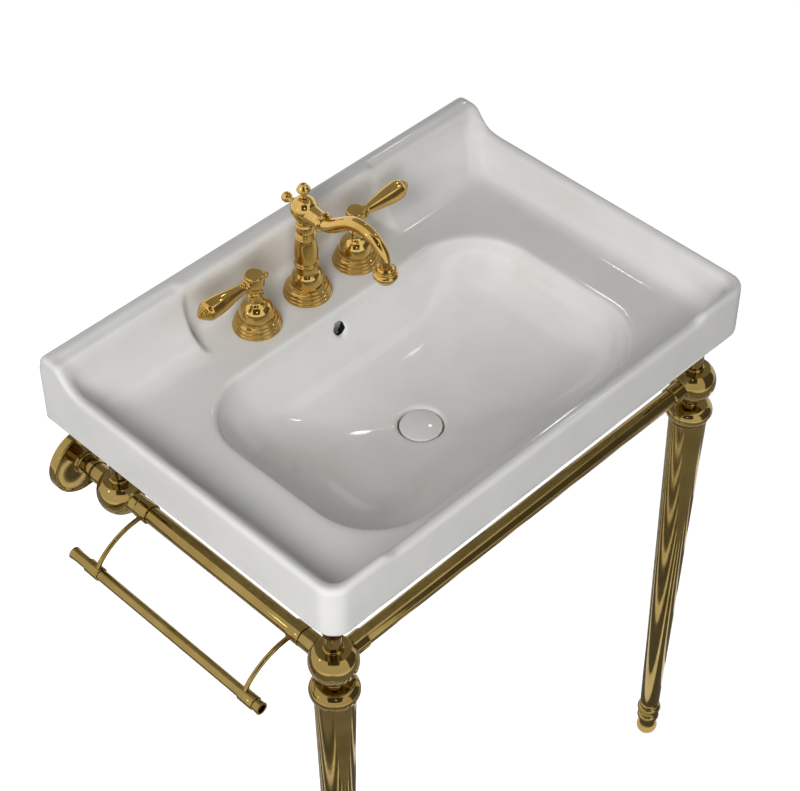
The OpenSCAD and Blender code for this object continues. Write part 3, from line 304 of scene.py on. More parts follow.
rib = soft_max(polygon_field(rib, grid_y, grid_z)[None], np.abs(X) - 22, 5)
body = soft_min(body, rib, 5)
body = soft_max(body, -bowl, 7)

# %% [markdown]
# The holes are cut last, so that their edges round over into everything that they meet: three
# for the faucet, the seat of the waste, the overflow with its way down, and two for the wall
# bolts.

# %% Holes
FAUCET_HOLE_R, SINK_R, SINK_Z, DRAIN_R, BOLT_X, BOLT_HOLE_R = 17.5, 28, -55.1, 22.5, 140, 7
for x in (-HANDLE_X, 0, HANDLE_X):
    body = soft_max(body, -(np.hypot(X - x, Y - FAUCET_Y) - FAUCET_HOLE_R), 2)
body = soft_max(body, -soft_max(round_waste - SINK_R, SINK_Z - Z, 2), 2.5)
body = soft_max(body, -(round_waste - DRAIN_R), 1.5)
OVERFLOW_Z, OVERFLOW_R, CHANNEL_Y = 25, 8.5, -118.5
overflow = soft_max(np.hypot(X, Z - OVERFLOW_Z) - OVERFLOW_R, np.abs(Y + 133) - 14, 1)
channel = soft_max(np.abs(X) - 14, np.abs(Y - CHANNEL_Y) - 4.5, 2)
channel = soft_max(channel, np.abs(Z - 20.5) - 12.5, 2)
body = soft_max(body, -soft_min(overflow, channel, 1), 2.5)
for x in (-BOLT_X, BOLT_X):
    body = soft_max(body, -soft_max(np.hypot(X - x, Z) - BOLT_HOLE_R, -Y - 30, 1), 2)
body = soft_max(soft_max(body, Y, 2), BOSS_Z - Z, 2)

# %% [markdown]
# A surface net puts one point in each cell that the skin passes through, at the mean of the
# places where the cell's edges cross it, and joins the points of the four cells round each
# crossed edge. On a smooth field it gives even quads, with no stair steps in the reflections.

# %% Surface net


def surface_net(field, lines):
    """Points and quads of the surface where field is zero."""
    shape = np.array(field.shape)
    cells = shape - 1
    total, count, quads = np.zeros((cells.prod(), 3)), np.zeros(cells.prod()), []
    for axis in range(3):
        ahead = [slice(None)] * 3
        behind = [slice(None)] * 3
        ahead[axis], behind[axis] = slice(1, None), slice(None, -1)
        low, high = field[tuple(behind)], field[tuple(ahead)]
        index = np.argwhere((low < 0) != (high < 0))
        a, b = low[tuple(index.T)], high[tuple(index.T)]
        place = np.stack([lines[n][index[:, n]] for n in range(3)], 1)
        gap = lines[axis][index[:, axis] + 1] - lines[axis][index[:, axis]]
        place[:, axis] += gap * a / (a - b)
        side, up = (axis + 1) % 3, (axis + 2) % 3
        corners = []
        for ds, du in ((-1, -1), (0, -1), (0, 0), (-1, 0)):
            cell = index.copy()
            cell[:, side] += ds
            cell[:, up] += du
            flat = np.ravel_multi_index(cell.T, cells)
            for n in range(3):
                total[:, n] += np.bincount(flat, place[:, n], cells.prod())
            count += np.bincount(flat, minlength=cells.prod())
            corners.append(flat)
        quad = np.stack(corners, 1)
        quads.append(np.where((a < 0)[:, None], quad, quad[:, ::-1]))
    used = np.flatnonzero(count)
    number = np.full(cells.prod(), -1)
    number[used] = np.arange(len(used))
    return total[used] / count[used, None], number[np.concatenate(quads)]


points, quads = surface_net(body.astype(np.float32), (grid_x, grid_y, grid_z))
print("basin skin:", len(points), "points,", len(quads), "quads")


# %% [markdown]
# A mesh shows as flat facets until it is shaded smooth, and smooth shading alone would smear
# the creases, so edges sharper than a given angle are marked as sharp.

# %% Mesh from points and faces


def smooth(mesh, angle=35):
    """Shades smooth, with creases sharper than the angle kept."""
    mesh.shade_smooth()
    mesh.set_sharp_from_angle(angle=math.radians(angle))


def new_piece(name, verts, faces, angle=35):
    """An object from points in millimetres, linked to the scene."""
    mesh = bpy.data.meshes.new(name)
    mesh.from_pydata([tuple(v) for v in np.asarray(verts, float) * MM], [], [tuple(f) for f in faces])
    mesh.validate()
    smooth(mesh, angle)
    piece = bpy.data.objects.new(name, mesh)
    bpy.context.scene.collection.objects.link(piece)
    return piece


basin = new_piece("basin_glazed", points, quads.tolist(), 60)
print("basin is", [round(d / MM, 1) for d in basin.dimensions], "mm")

# %% [markdown]
# Everything turned on a lathe, such as the spout column, the handles, the legs and the feet,
# is drawn as half of its outline and spun. The helper that spins also rounds each corner of
# the outline by a fraction of a millimetre, because a polished casting never has a knife
# edge, and those small roundings catch the light as bright rings.

# %% Spinning an outline


def soften(outline, radius, steps=3):
    """The outline with its corners rounded, all but the ends."""
    out = [outline[0]]
    for before, here, after in zip(outline, outline[1:], outline[2:]):
        a, p, b = (np.array(q, float) for q in (before, here, after))
        la, lb = np.linalg.norm(a - p), np.linalg.norm(b - p)
        if min(la, lb) < 1e-6:
            continue
        turn = math.acos(max(-1, min(1, float(np.dot(p - a, b - p) / (la * lb)))))
        if turn < math.radians(14):
            out.append(tuple(p))
            continue
        cut = min(radius * math.tan(turn / 2), 0.45 * la, 0.45 * lb)
        start, stop = p + (a - p) / la * cut, p + (b - p) / lb * cut
        for i in range(steps + 1):
            t = i / steps
            out.append(tuple((1 - t) ** 2 * start + 2 * t * (1 - t) * p + t * t * stop))
    return out + [outline[-1]]


def frame_of(along):
    """Rotation that turns +Z to the given direction."""
    return Vector((0, 0, 1)).rotation_difference(Vector(along)).to_matrix()


def spun(outline, place=(0, 0, 0), along=(0, 0, 1), round_off=0.4, sides=72):
    """Points and faces of an outline of (radius, height), spun and set in its place."""
    outline = soften(outline, round_off)
    turn = frame_of(along)
    points, faces, rings = [], [], []
    for r, h in outline:
        count = sides if r > 1e-6 else 1
        rings.append(list(range(len(points), len(points) + count)))
        for i in range(count):
            a = 2 * math.pi * i / sides
            point = Vector((r * math.cos(a), r * math.sin(a), h))
            points.append(tuple(turn @ point + Vector(place)))
    for low, high in zip(rings, rings[1:]):
        if len(low) + len(high) < 3:
            continue
        for i in range(sides):
            j = (i + 1) % sides
            face = [low[i % len(low)], low[j % len(low)], high[j % len(high)], high[i % len(high)]]
            faces.append(list(dict.fromkeys(face)))
    return points, faces


# %% [markdown]
# Bent pieces, such as the spout's arm and the arms of the towel bar, are a circle that
# follows a curved path, with its own radius at each point of the way.

# %% Sweeping a circle along a path


def swept(path, radii, across, sides=32):
    """Points and faces of a round bar along a path in a plane at right angles to across."""
    points, faces = [], []
    across = Vector(across)
    for k, (p, r) in enumerate(zip(path, radii)):
        ahead = Vector(path[min(k + 1, len(path) - 1)]) - Vector(path[max(k - 1, 0)])
        normal = ahead.normalized().cross(across)
        for i in range(sides):
            a = 2 * math.pi * i / sides
            points.append(tuple(Vector(p) + r * (math.cos(a) * across + math.sin(a) * normal)))
    for k in range(len(path) - 1):
        for i in range(sides):
            j = (i + 1) % sides
            faces.append([k * sides + i, (k + 1) * sides + i, (k + 1) * sides + j, k * sides + j])
    faces.append(list(range(sides)))
    faces.append([(len(path) - 1) * sides + i for i in reversed(range(sides))])
    return points, faces


# %% [markdown]
# The frame moves the pieces. Each new piece is put on the body that it moves with, is given a
# material slot, and takes the place of the construction solids that it was drawn over.

# %% Dressing: one object per piece, on its body, with its material slot


def dress(piece, body_name, slot_name, *nodes):
    """Sets a piece on its body, gives it its material slot and hides the construction nodes it stands
    for.
    """
    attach(piece, body_name)
    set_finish(piece, slot_name)
    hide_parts(*nodes)


def joined(name, *shells):
    """One piece made of several shells."""
    points, faces = [], []
    for shell_points, shell_faces in shells:
        base = len(points)
        points += shell_points
        faces += [[base + i for i in face] for face in shell_faces]
    return new_piece(name, points, faces)


dress(basin, "base", "vitreous_china", "basin")

# %% [markdown]
# The faucet's spout and its two handles stand on the same moulded base: a stack of rounded
# beads under a small dome. Each bead is an arc of the outline.

# %% Spout: base, column and ball head
BASE_R = 30
BASE = [(BASE_R, 0)] + arc((BASE_R - 2, 2), 2, 0, 75, 6) + arc((BASE_R - 3.6, 6.6), 2.2, -35, 75, 8)
BASE += arc((BASE_R - 4.8, 11), 1.8, -40, 80, 8) + arc((BASE_R - 7.4, 15), 1.5, -50, 80, 8)
column = [(0, 0)] + BASE + curve((19.6, 17), (20, 27), (18.4, 32.5), (14.8, 36), 18)
column += [(14.2, 38), (14, 44.5)]
for r, h, bead in ((13.9, 47.4, 1.5), (13.6, 50.6, 1.4)):
    column += arc((r, h), bead, -60, 60, 8)
column += curve((13.8, 52.5), (15.9, 61), (14.2, 77), (11.6, 86), 20)
for r, h, bead in ((11.2, 88, 1.5), (11, 91, 1.4), (10.8, 93.6, 1.2)):
    column += arc((r, h), bead, -60, 60, 8)
column += curve((10.6, 95.5), (12.6, 100), (12.6, 105), (10.4, 109.5), 14)
column += [(11.4, 110.5), (11.4, 112.5), (10.6, 113.5), (10.6, 117.6), (0, 117.6)]
dress(joined("spout_column", spun(column, (0, FAUCET_Y, DECK_Z))), "base", "faucet_brass",
      "spout_column")

NECK_LEN, ARM_DIP = 35, -2.6
ball = [(0, -12.64)] + arc((0, 0), HEAD_R, -50, 75, 30)
ball += [(2.6, HEAD_R - 0.1), (2.6, HEAD_R - 6), (0, HEAD_R - 6)]
neck = [(0, 4), (13, 8)] + curve((13, 8), (11.6, 14), (10.9, 20), (10.6, NECK_LEN - 6.5), 12)
neck += arc((10.6, NECK_LEN - 3.2), 2.3, -75, 70, 10) + [(10.4, NECK_LEN), (0, NECK_LEN)]
head_at = Vector((0, FAUCET_Y, HEAD_Z))
spout_ball = joined("spout_ball", spun(ball, head_at),
                    spun(neck, head_at + Vector((0, 0, ARM_DIP)), (0, -1, 0)))
dress(spout_ball, "base", "faucet_brass", "spout_ball")

# %% [markdown]
# The arm is drawn as two curves that meet in one direction and gets thinner towards its end,
# as a bent and drawn tube does. A finial closes the ball head at the back, and the knob on top
# lifts the rod that closes the waste.

# %% Spout: arm, aerator, rear finial and lift knob
REACH, OUTLET_DROP = 134, 8.5
arm = curve((-NECK_LEN, ARM_DIP), (-47, ARM_DIP), (-60, 12.5), (-77, 22.5), 24)
arm += curve((-77, 22.5), (-96, 33.7), (1 - REACH, 26), (-REACH, -OUTLET_DROP), 32)[1:]
radii = [9.2 - 2.4 * (i / (len(arm) - 1)) ** 1.5 for i in range(len(arm))]
path = [head_at + Vector((0, y, z)) for y, z in arm]
dress(joined("spout_arm", swept(path, radii, (1, 0, 0))), "base", "faucet_brass", "spout_arm")

shell = [(9.6, -6.5), (9.6, -18.6), (10.2, -19), (11.2, -19)] + arc((10.4, -11), 4.6, -50, 50, 12)
shell += [(11.6, -6.5)] + arc((10.8, -4), 2, -50, 50, 8) + [(10, -2), (8, 0), (0, 0)]
outlet = head_at + Vector((0, -REACH, -OUTLET_DROP))
dress(joined("aerator_shell", spun(shell, outlet)), "base", "faucet_brass", "aerator_shell")

finial = [(0, 0), (2.5, 0), (2.5, 4), (5.6, 4), (5.6, 5.4), (4, 7), (3.4, 9), (3.6, 11)]
finial += arc((0, 17), 6.8, -58, 90, 20)
finial = spun(finial, head_at + Vector((0, HEAD_R - 4, 0)), (0, 1, 0), 0.5)
dress(joined("rear_finial", finial), "base", "faucet_brass", "rear_finial")

knob = [(0, 0), (4.4, 0), (4.4, 1), (3.6, 2), (3.4, 4.5), (4.6, 6), (4.6, 7)]
knob += arc((5.4, 11), 3.2, -60, 60, 12) + [(5.6, 16.5), (3, 18.6), (0, 19.2)]
dress(joined("lift_knob", spun(knob, head_at + Vector((0, 0, HEAD_R + 1)))), "lift", "faucet_brass",
      "lift_knob")

# %% [markdown]
# Each handle is three turned pieces: a bell that covers the valve, a hub that turns on the
# valve's stem, and a lever screwed into the side of the hub, with a small stub opposite.

# %% Handles: bells, hubs and levers
LEVER_H, LEVER_LEN, LEVER_R, HUB_Z, HUB_R = 69, 88, 13, 51.6, 12
bell = [(0, 0)] + BASE + curve((21, 17), (21.4, 27), (18.6, 33.5), (12, 37.5), 18)
bell += curve((12, 37.5), (9.6, 39.2), (8.9, 42), (8.6, 47), 8)[1:] + arc((8.6, 49), 1.5, -70, 70, 8)
bell += [(8.4, 51), (0, 51)]
hub = [(0, HUB_Z), (9, HUB_Z), (9.4, HUB_Z + 1.4), (8.4, HUB_Z + 3)]
hub += curve((8.2, HUB_Z + 4), (8.1, HUB_Z + 8), (9, HUB_Z + 10), (HUB_R - 0.4, LEVER_H - 4.5), 12)
hub += [(HUB_R, LEVER_H - 2), (HUB_R, LEVER_H + 6.5), (HUB_R - 0.5, LEVER_H + 9)]
hub += [(HUB_R - 1.3, LEVER_H + 10.5), (0, LEVER_H + 10.5)]
stub = [(0, 9), (5, 9), (5, HUB_R + 0.3), (4.4, HUB_R + 1), (3.6, HUB_R + 1.6)]
stub += arc((0, HUB_R + 4.4), 4.6, -38, 90, 12)
belly = LEVER_LEN - 17
root = [(0, -1.3), (8.2, -1.3), (8.4, 1.5), (6.8, 2.8), (7.6, 4.3), (7.2, 5.6), (6.4, 6.6)]
lever = [(r, HUB_R + h) for r, h in root]
lever += curve((6.6, 22), (8.6, 36), (LEVER_R - 0.6, 50), (LEVER_R, belly - 5), 20)
lever += curve((LEVER_R, belly - 1), (LEVER_R, belly + 3), (LEVER_R - 1.5, belly + 5.5),
               (LEVER_R - 3.6, belly + 6.5), 10)
for r, h in ((8.2, 8), (6.4, 10.4), (4.6, 12.6), (2.8, 14.6)):
    lever += arc((r, belly + h), 1.1, -50, 50, 6)
lever += [(1.4, LEVER_LEN - 0.8), (0, LEVER_LEN)]
for side, word in ((-1, "left"), (1, "right")):
    foot = Vector((side * HANDLE_X, FAUCET_Y, DECK_Z))
    pivot = foot + Vector((0, 0, LEVER_H))
    dress(joined(word + "_bell", spun(bell, foot)), "base", "faucet_brass", word + "_bell")
    turned_hub = joined(word + "_hub", spun(hub, foot, (0, 0, 1), 0.8), spun(stub, pivot, (-side, 0, 0)))
    dress(turned_hub, word + "_handle", "faucet_brass", word + "_hub")
    dress(joined(word + "_lever", spun(lever, pivot, (side, 0, 0))), word + "_handle", "faucet_brass",
          word + "_lever")

# %% [markdown]
# The stand is tube and castings: hollow balls with sockets take the rails, a post stands on
# each ball, a bell and a tapered leg hang from the two front balls, and the legs end in
# turned feet. Two short tubes run from the rear balls to flanges on the wall.

# %% Stand: balls, posts, rails and flanges
BALL_R, RAIL_R, BALL_FLAT, SEAT_IN, POST_R = 29, 11, 21, 20, 10.5
SOCKET_END = BALL_R + 17
flat_at = math.degrees(math.asin(BALL_FLAT / BALL_R))
sphere = [(0, -BALL_R)] + arc((0, 0), BALL_R, -89, flat_at, 40) + [(0, BALL_FLAT)]


def socket(end):
    """Outline of a socket that ends at a distance from the ball's centre."""
    return [(0, 5), (RAIL_R + 1.6, 5), (RAIL_R + 1.6, end - 1.5), (RAIL_R + 0.6, end), (0, end)]


head = UNDER_Z - 3 - RAIL_Z
post = [(0, BALL_FLAT - 6), (POST_R - 3, BALL_FLAT - 6), (POST_R - 3, BALL_FLAT)]
post += [(POST_R + 1.6, BALL_FLAT), (POST_R + 1.6, BALL_FLAT + 2.4), (POST_R, BALL_FLAT + 3.4)]
post += curve((POST_R, BALL_FLAT + 24), (POST_R + 2, BALL_FLAT + 30), (POST_R + 5, BALL_FLAT + 38),
              (22, head - 14), 14)
post += [(22, head), (0, head)]
posts = []
TO_FRONT, TO_WALL = (0, -1, 0), (0, 1, 0)
for side, word in ((-1, "left"), (1, "right")):
    for y, row, ways in ((FRONT_Y, "front", ((-side, 0, 0), TO_WALL)),
                         (REAR_Y, "rear", (TO_FRONT, TO_WALL))):
        at = (side * LEG_X, y, RAIL_Z)
        shells = [spun(sphere, at)]
        shells += [spun(socket(BALL_R + 8 if way == TO_FRONT else SOCKET_END), at, way) for way in ways]
        name = row + "_" + word + "_ball"
        dress(joined(name, *shells), "base", "stand_brass", name)
        posts.append(spun(post, at))
dress(joined("support_posts", *posts), "base", "stand_brass", "support_posts")


def rail(name, start, along, length):
    """A straight length of tube between two sockets."""
    outline = [(0, 0), (RAIL_R, 0), (RAIL_R, length), (0, length)]
    dress(joined(name, spun(outline, start, along)), "base", "stand_brass", name)


reach = LEG_X - SEAT_IN
rail("front_rail", (-reach, FRONT_Y, RAIL_Z), (1, 0, 0), 2 * reach)
for side, word in ((-1, "left"), (1, "right")):
    rail(word + "_rail", (side * LEG_X, REAR_Y - SEAT_IN, RAIL_Z), TO_FRONT,
         REAR_Y - FRONT_Y - 2 * SEAT_IN)

FLANGE_R, FLANGE_T = 44, 14
flange = [(0, 0), (FLANGE_R, 0)] + arc((FLANGE_R - 2.5, FLANGE_T - 4.5), 2.5, 0, 90, 8)
flange += [(FLANGE_R - 4, FLANGE_T - 2), (FLANGE_R - 5.5, FLANGE_T - 3.6), (RAIL_R + 5, FLANGE_T - 1.6)]
flange += [(RAIL_R + 3.4, FLANGE_T), (RAIL_R + 3.4, FLANGE_T + 2), (RAIL_R + 2, FLANGE_T + 3)]
flange += [(0, FLANGE_T + 3)]
flanges = [spun(flange, (x, 0, RAIL_Z), TO_FRONT) for x in (-LEG_X, LEG_X)]
dress(joined("wall_flanges", *flanges), "base", "stand_brass", "wall_flanges")
PLATE_R, PLATE_T = 40, 5
stub_len = -REAR_Y - SEAT_IN
stub_tube = [(0, 0), (PLATE_R, 0), (PLATE_R, PLATE_T), (RAIL_R, PLATE_T), (RAIL_R, stub_len)]
stub_tube += [(0, stub_len)]
stubs = [spun(stub_tube, (x, 0, RAIL_Z), TO_FRONT) for x in (-LEG_X, LEG_X)]
dress(joined("wall_plates", *stubs), "base", "stand_brass", "wall_plates")

# %% [markdown]
# The legs taper towards the floor. A bell closes each leg at the top, and a turned foot of a
# ball and two beads closes it below.

# %% Stand: bells, legs and feet
LEG_TOP_R, LEG_FOOT_R, BELL_R, BELL_DROP, FOOT_H = 24, 13.5, 29.5, 62, 72
leg_bell = [(0, -BELL_DROP), (LEG_TOP_R - 1, -BELL_DROP)]
leg_bell += arc((BELL_R - 12.5, -49.5), 12.5, -68, 78, 24)
leg_bell += [(10.4, -36.6), (9.6, -35.6), (9.6, -32.5), (10.6, -31), (9.4, -29.5), (0, -26)]
foot_top, leg_top = FLOOR_Z + FOOT_H, RAIL_Z - BELL_DROP
leg = [(0, foot_top), (LEG_FOOT_R, foot_top), (LEG_TOP_R, leg_top), (0, leg_top)]
foot = [(0, 0), (5, 0)] + arc((0, 15), 15, -65, 62, 24) + [(7.4, 30.5), (8, 32.5)]
foot += arc((9.6, 39), 5.8, -75, 75, 14) + [(9.4, 46.5), (9.4, 49.5)]
foot += arc((10.6, 57.5), 6, -80, 80, 14)
foot += [(9.6, 65.5), (LEG_FOOT_R - 2, 68), (LEG_FOOT_R, FOOT_H), (0, FOOT_H)]
bells, feet = [], []
for x, word in ((-LEG_X, "left"), (LEG_X, "right")):
    bells.append(spun(leg_bell, (x, FRONT_Y, RAIL_Z), (0, 0, 1), 0.8))
    feet.append(spun(foot, (x, FRONT_Y, FLOOR_Z), (0, 0, 1), 0.8))
    dress(joined(word + "_leg", spun(leg, (x, FRONT_Y, 0))), "base", "stand_brass", word + "_leg")
dress(joined("leg_bells", *bells), "base", "stand_brass", "leg_bells")
dress(joined("leg_feet", *feet), "base", "stand_brass", "leg_feet")

# %% [markdown]
# The towel bar hangs outside the left rail on two thin arms. Each arm leaves a collar on the
# rail, runs out level and bends down to a collar on the bar.

# %% Towel bar and its arms
BAR_X, BAR_Z, BAR_R, BAR_LEN, BAR_BACK, ARM_R = -LEG_X - 80, RAIL_Z - 41, 7, 322, -84, 3
bar = [(0, 8), (BAR_R - 1.5, 8), (BAR_R - 1.5, 0), (BAR_R + 1, 0), (BAR_R, 10), (BAR_R, BAR_LEN - 10)]
bar += [(BAR_R + 1, BAR_LEN), (BAR_R - 1.5, BAR_LEN), (BAR_R - 1.5, BAR_LEN - 8), (0, BAR_LEN - 8)]
dress(joined("towel_bar", spun(bar, (BAR_X, BAR_BACK, BAR_Z), TO_FRONT)), "base", "stand_brass",
      "towel_bar")


def collar(x, z, y_mid, radius, length):
    """A short ring round a tube that runs front to back."""
    outline = [(0, 0), (radius, 0), (radius, length), (0, length)]
    return spun(outline, (x, y_mid + length / 2, z), TO_FRONT, 0.6)


STRAIGHT, BEND_R = 15, 24
run, drop = -BAR_X - LEG_X - STRAIGHT - BEND_R, RAIL_Z - BAR_Z
upper_r = (run ** 2 + drop ** 2 - BEND_R ** 2) / (2 * (drop - BEND_R))
swing = math.degrees(math.atan2(run, upper_r - drop))
arm_line = [(LEG_X, RAIL_Z)] + arc((LEG_X + STRAIGHT, RAIL_Z - upper_r), upper_r, 90, 90 - swing, 20)
arm_line += arc((-BAR_X - BEND_R, BAR_Z), BEND_R, 81 - swing, 0, 10)
REAR_ARM_Y, FRONT_ARM_Y, RAIL_COLLAR, BAR_COLLAR = -128, -379, 18, 22
for name, y, out in (("rear_towel_arm", REAR_ARM_Y, 1), ("front_towel_arm", FRONT_ARM_Y, -1)):
    bend = [(-x, y, z) for x, z in arm_line]
    shells = [swept(bend, [ARM_R] * len(bend), (0, 1, 0), 24),
              collar(-LEG_X, RAIL_Z, y + out * 3, RAIL_R + 2, RAIL_COLLAR),
              collar(BAR_X, BAR_Z, y + out * 6, BAR_R + 1.6, BAR_COLLAR)]
    dress(joined(name, *shells), "base", "stand_brass", name)

# %% [markdown]
# The waste is closed by a white ceramic cap that lies level with the bowl, in a brass seat.

# %% Waste cap
CAP_R, CAP_H, CAP_Z, RISE = 26, 7, -46, 2.4
dome_r = (CAP_R ** 2 + RISE ** 2) / (2 * RISE)
span = math.degrees(math.asin((CAP_R - 2) / dome_r))
cap = [(0, 0), (CAP_R - 0.8, 0), (CAP_R, 0.8)] + arc((CAP_R - 2, CAP_H - RISE - 1.6), 2, 0, 70, 10)
cap += arc((0, CAP_H - dome_r), dome_r, 90 - span, 90, 24)
dress(joined("stopper_cap", spun(cap, (0, DRAIN_Y, CAP_Z))), "stopper", "vitreous_china",
      "stopper_cap")
made = [o for o in bpy.data.objects if o.type == "MESH" and "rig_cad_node" not in o]
print(len(made), "pieces made,", sum(len(o.data.polygons) for o in made), "faces")

# %% [markdown]
# Materials are built from nodes. One function adds a node with its settings and links, so
# that each material below reads as a list of what is on the surface.

# %% Adding nodes
BUMP_MM = 0.3


def add(tree, kind, sockets=None, **settings):
    """Adds a node, sets its properties, and fills or links its inputs by name or number."""
    made = tree.nodes.new(kind)
    for name, value in settings.items():
        setattr(made, name, value)
    for name, value in (sockets or {}).items():
        if isinstance(value, bpy.types.NodeSocket):
            tree.links.new(value, made.inputs[name])
        else:
            made.inputs[name].default_value = value
    return made


def new_material(name, **surface):
    """An empty material with a Principled shader whose sockets are set by name."""
    material = bpy.data.materials.new(name)
    material.use_nodes = True
    tree = material.node_tree
    shader = tree.nodes["Principled BSDF"]
    for socket_name, value in surface.items():
        shader.inputs[socket_name.replace("_", " ")].default_value = value
    return material, tree, shader


def noise(tree, vector, size_mm, detail):
    """A cloud whose patches are about size_mm across, as values from 0 to 1."""
    inputs = {"Vector": vector, "Scale": 1 / (size_mm * MM), "Detail": detail}
    return add(tree, "ShaderNodeTexNoise", inputs).outputs["Fac"]


def bumped(tree, shader, height, strength):
    """Tilts the surface by a height map whose full relief is BUMP_MM."""
    inputs = {"Height": height, "Strength": strength, "Distance": BUMP_MM * MM}
    tree.links.new(add(tree, "ShaderNodeBump", inputs).outputs["Normal"], shader.inputs["Normal"])


def mottled(tree, vector, size_mm, colours, detail=3.0):
    """A soft cloud of colours whose patches are about size_mm across."""
    cloud = noise(tree, vector, size_mm, detail)
    ramp = add(tree, "ShaderNodeValToRGB", {"Fac": cloud})
    for element, place, colour in zip(ramp.color_ramp.elements, (0.35, 0.65), colours):
        element.position, element.color = place, linear(colour)
    return ramp.outputs["Color"]


# %% [markdown]
# Vitreous china is white clay that was fired at about 1200 C and glazed. The glaze is a layer
# of glass: its colour is a warm white that varies a little, its surface is smooth but not
# flat, with slow ripples a few centimetres apart, and it mirrors the lamps softly. Inside the
# overflow way, a cylinder round the axis of the overflow hole is masked out and painted near
# black: painted shade for the dark inside of the way.

# %% Glazed vitreous china
# WAY_DEPTH and MASK_CLEAR bound the painted shade inside the overflow way.
WAY_DEPTH, MASK_CLEAR = 14, 0.3
china, tree, shader = new_material("vitreous_china_glazed", Roughness=0.07, IOR=1.5)
place = add(tree, "ShaderNodeTexCoord").outputs["Object"]
glaze = mottled(tree, place, 60, ("#DEDDDA", "#E3E2DF"))
split = add(tree, "ShaderNodeSeparateXYZ", {"Vector": place})
in_plan = add(tree, "ShaderNodeMath", {0: split.outputs["Y"], 1: CHANNEL_Y * MM, 2: WAY_DEPTH * MM},
              operation="COMPARE")
axis = add(tree, "ShaderNodeCombineXYZ", {"X": split.outputs["X"], "Z": split.outputs["Z"]})
radius = add(tree, "ShaderNodeVectorMath", {0: axis.outputs[0], 1: (0, 0, OVERFLOW_Z * MM)},
             operation="DISTANCE")
in_hole = add(tree, "ShaderNodeMath", {0: radius.outputs["Value"], 1: (OVERFLOW_R + MASK_CLEAR) * MM},
              operation="LESS_THAN")
# Painted shade: inside the overflow way the glaze colour is swapped for near black #1C1A18.
raw = add(tree, "ShaderNodeMath", {0: in_plan.outputs[0], 1: in_hole.outputs[0]}, operation="MULTIPLY")
surface = add(tree, "ShaderNodeMix", {"Factor": raw.outputs[0], "A": glaze, "B": linear("#1C1A18")},
              data_type="RGBA")
tree.links.new(surface.outputs["Result"], shader.inputs["Base Color"])
bumped(tree, shader, noise(tree, place, 25, 1.0), 0.2)

# %% [markdown]
# The brass was cast or turned, polished on a wheel and lacquered. Polishing leaves hair lines
# and faint clouds that change the gloss more than the colour. The stand is the same metal in
# a deeper, browner tone.

# %% Polished brass


def polished_brass(name, bright, deep, gloss):
    """Brass with slow clouds of tone, and with polishing marks that vary its gloss."""
    material, tree, shader = new_material(name, Metallic=1.0)
    place = add(tree, "ShaderNodeTexCoord").outputs["Object"]
    tree.links.new(mottled(tree, place, 45, (deep, bright)), shader.inputs["Base Color"])
    marks = noise(tree, place, 6, 4.0)
    rough = add(tree, "ShaderNodeMapRange", {"Value": marks, "To Min": gloss, "To Max": gloss * 1.8})
    tree.links.new(rough.outputs["Result"], shader.inputs["Roughness"])
    bumped(tree, shader, noise(tree, place, 14, 2.0), 0.12)
    return material


faucet_brass = polished_brass("brass_polished_bright", "#DAB66C", "#C9A255", 0.05)
stand_brass = polished_brass("brass_polished_deep", "#A68E55", "#957D46", 0.07)
plain_brass = polished_brass("brass_as_turned", "#D0AE66", "#B8954F", 0.28)

# %% [markdown]
# Washers, screws and supply pipes are seen only in small glimpses, so their materials carry
# nothing more than a soft variation of tone.

# %% Rubber, stainless steel and copper


def plain(name, size_mm, colours, **surface):
    """A material with no more than a mottled colour."""
    material, tree, shader = new_material(name, **surface)
    place = add(tree, "ShaderNodeTexCoord").outputs["Object"]
    tree.links.new(mottled(tree, place, size_mm, colours), shader.inputs["Base Color"])
    return material


rubber = plain("rubber_black", 5, ("#1B1B1C", "#29292A"), Roughness=0.65)
steel = plain("stainless_steel_brushed", 3, ("#B9BABB", "#CFD0D1"), Metallic=1.0, Roughness=0.3)
copper = plain("copper_drawn", 12, ("#B97450", "#CB8862"), Metallic=1.0, Roughness=0.25)

# %% [markdown]
# The record of the part names a material for each construction node, and each piece made here
# carries the name that it was dressed with. Both lead to the same few finishes.

# %% Finishes on all pieces
FINISHES = {"vitreous_china": china, "faucet_brass": faucet_brass, "stand_brass": stand_brass,
            "plain_brass": plain_brass, "black_rubber": rubber, "stainless_steel": steel,
            "copper": copper}
finish_of = {row["node"]: FINISHES[row["material_slot"]] for row in frame["record"]["subparts"]}
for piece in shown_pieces():
    finish = finish_of.get(piece.get("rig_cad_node")) or FINISHES[piece["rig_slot"]]
    piece.data.materials.clear()
    piece.data.materials.append(finish)

# %% [markdown]
# The studio: a pale floor under the feet, soft lamps from the left and the front left, weaker
# ones from the other sides and the world as fill. The photograph's background is plain white,
# so the camera and mirror rays see white, and the floor only keeps a faint shadow.

# %% Floor


def white_for(tree, *rays):
    """1 for the kinds of rays that are to see white, 0 for the rays that only carry light."""
    light_path = add(tree, "ShaderNodeLightPath")
    seen = light_path.outputs[rays[0]]
    for kind in rays[1:]:
        seen = add(tree, "ShaderNodeMath", {0: seen, 1: light_path.outputs[kind]},
                   operation="MAXIMUM").outputs[0]
    return seen


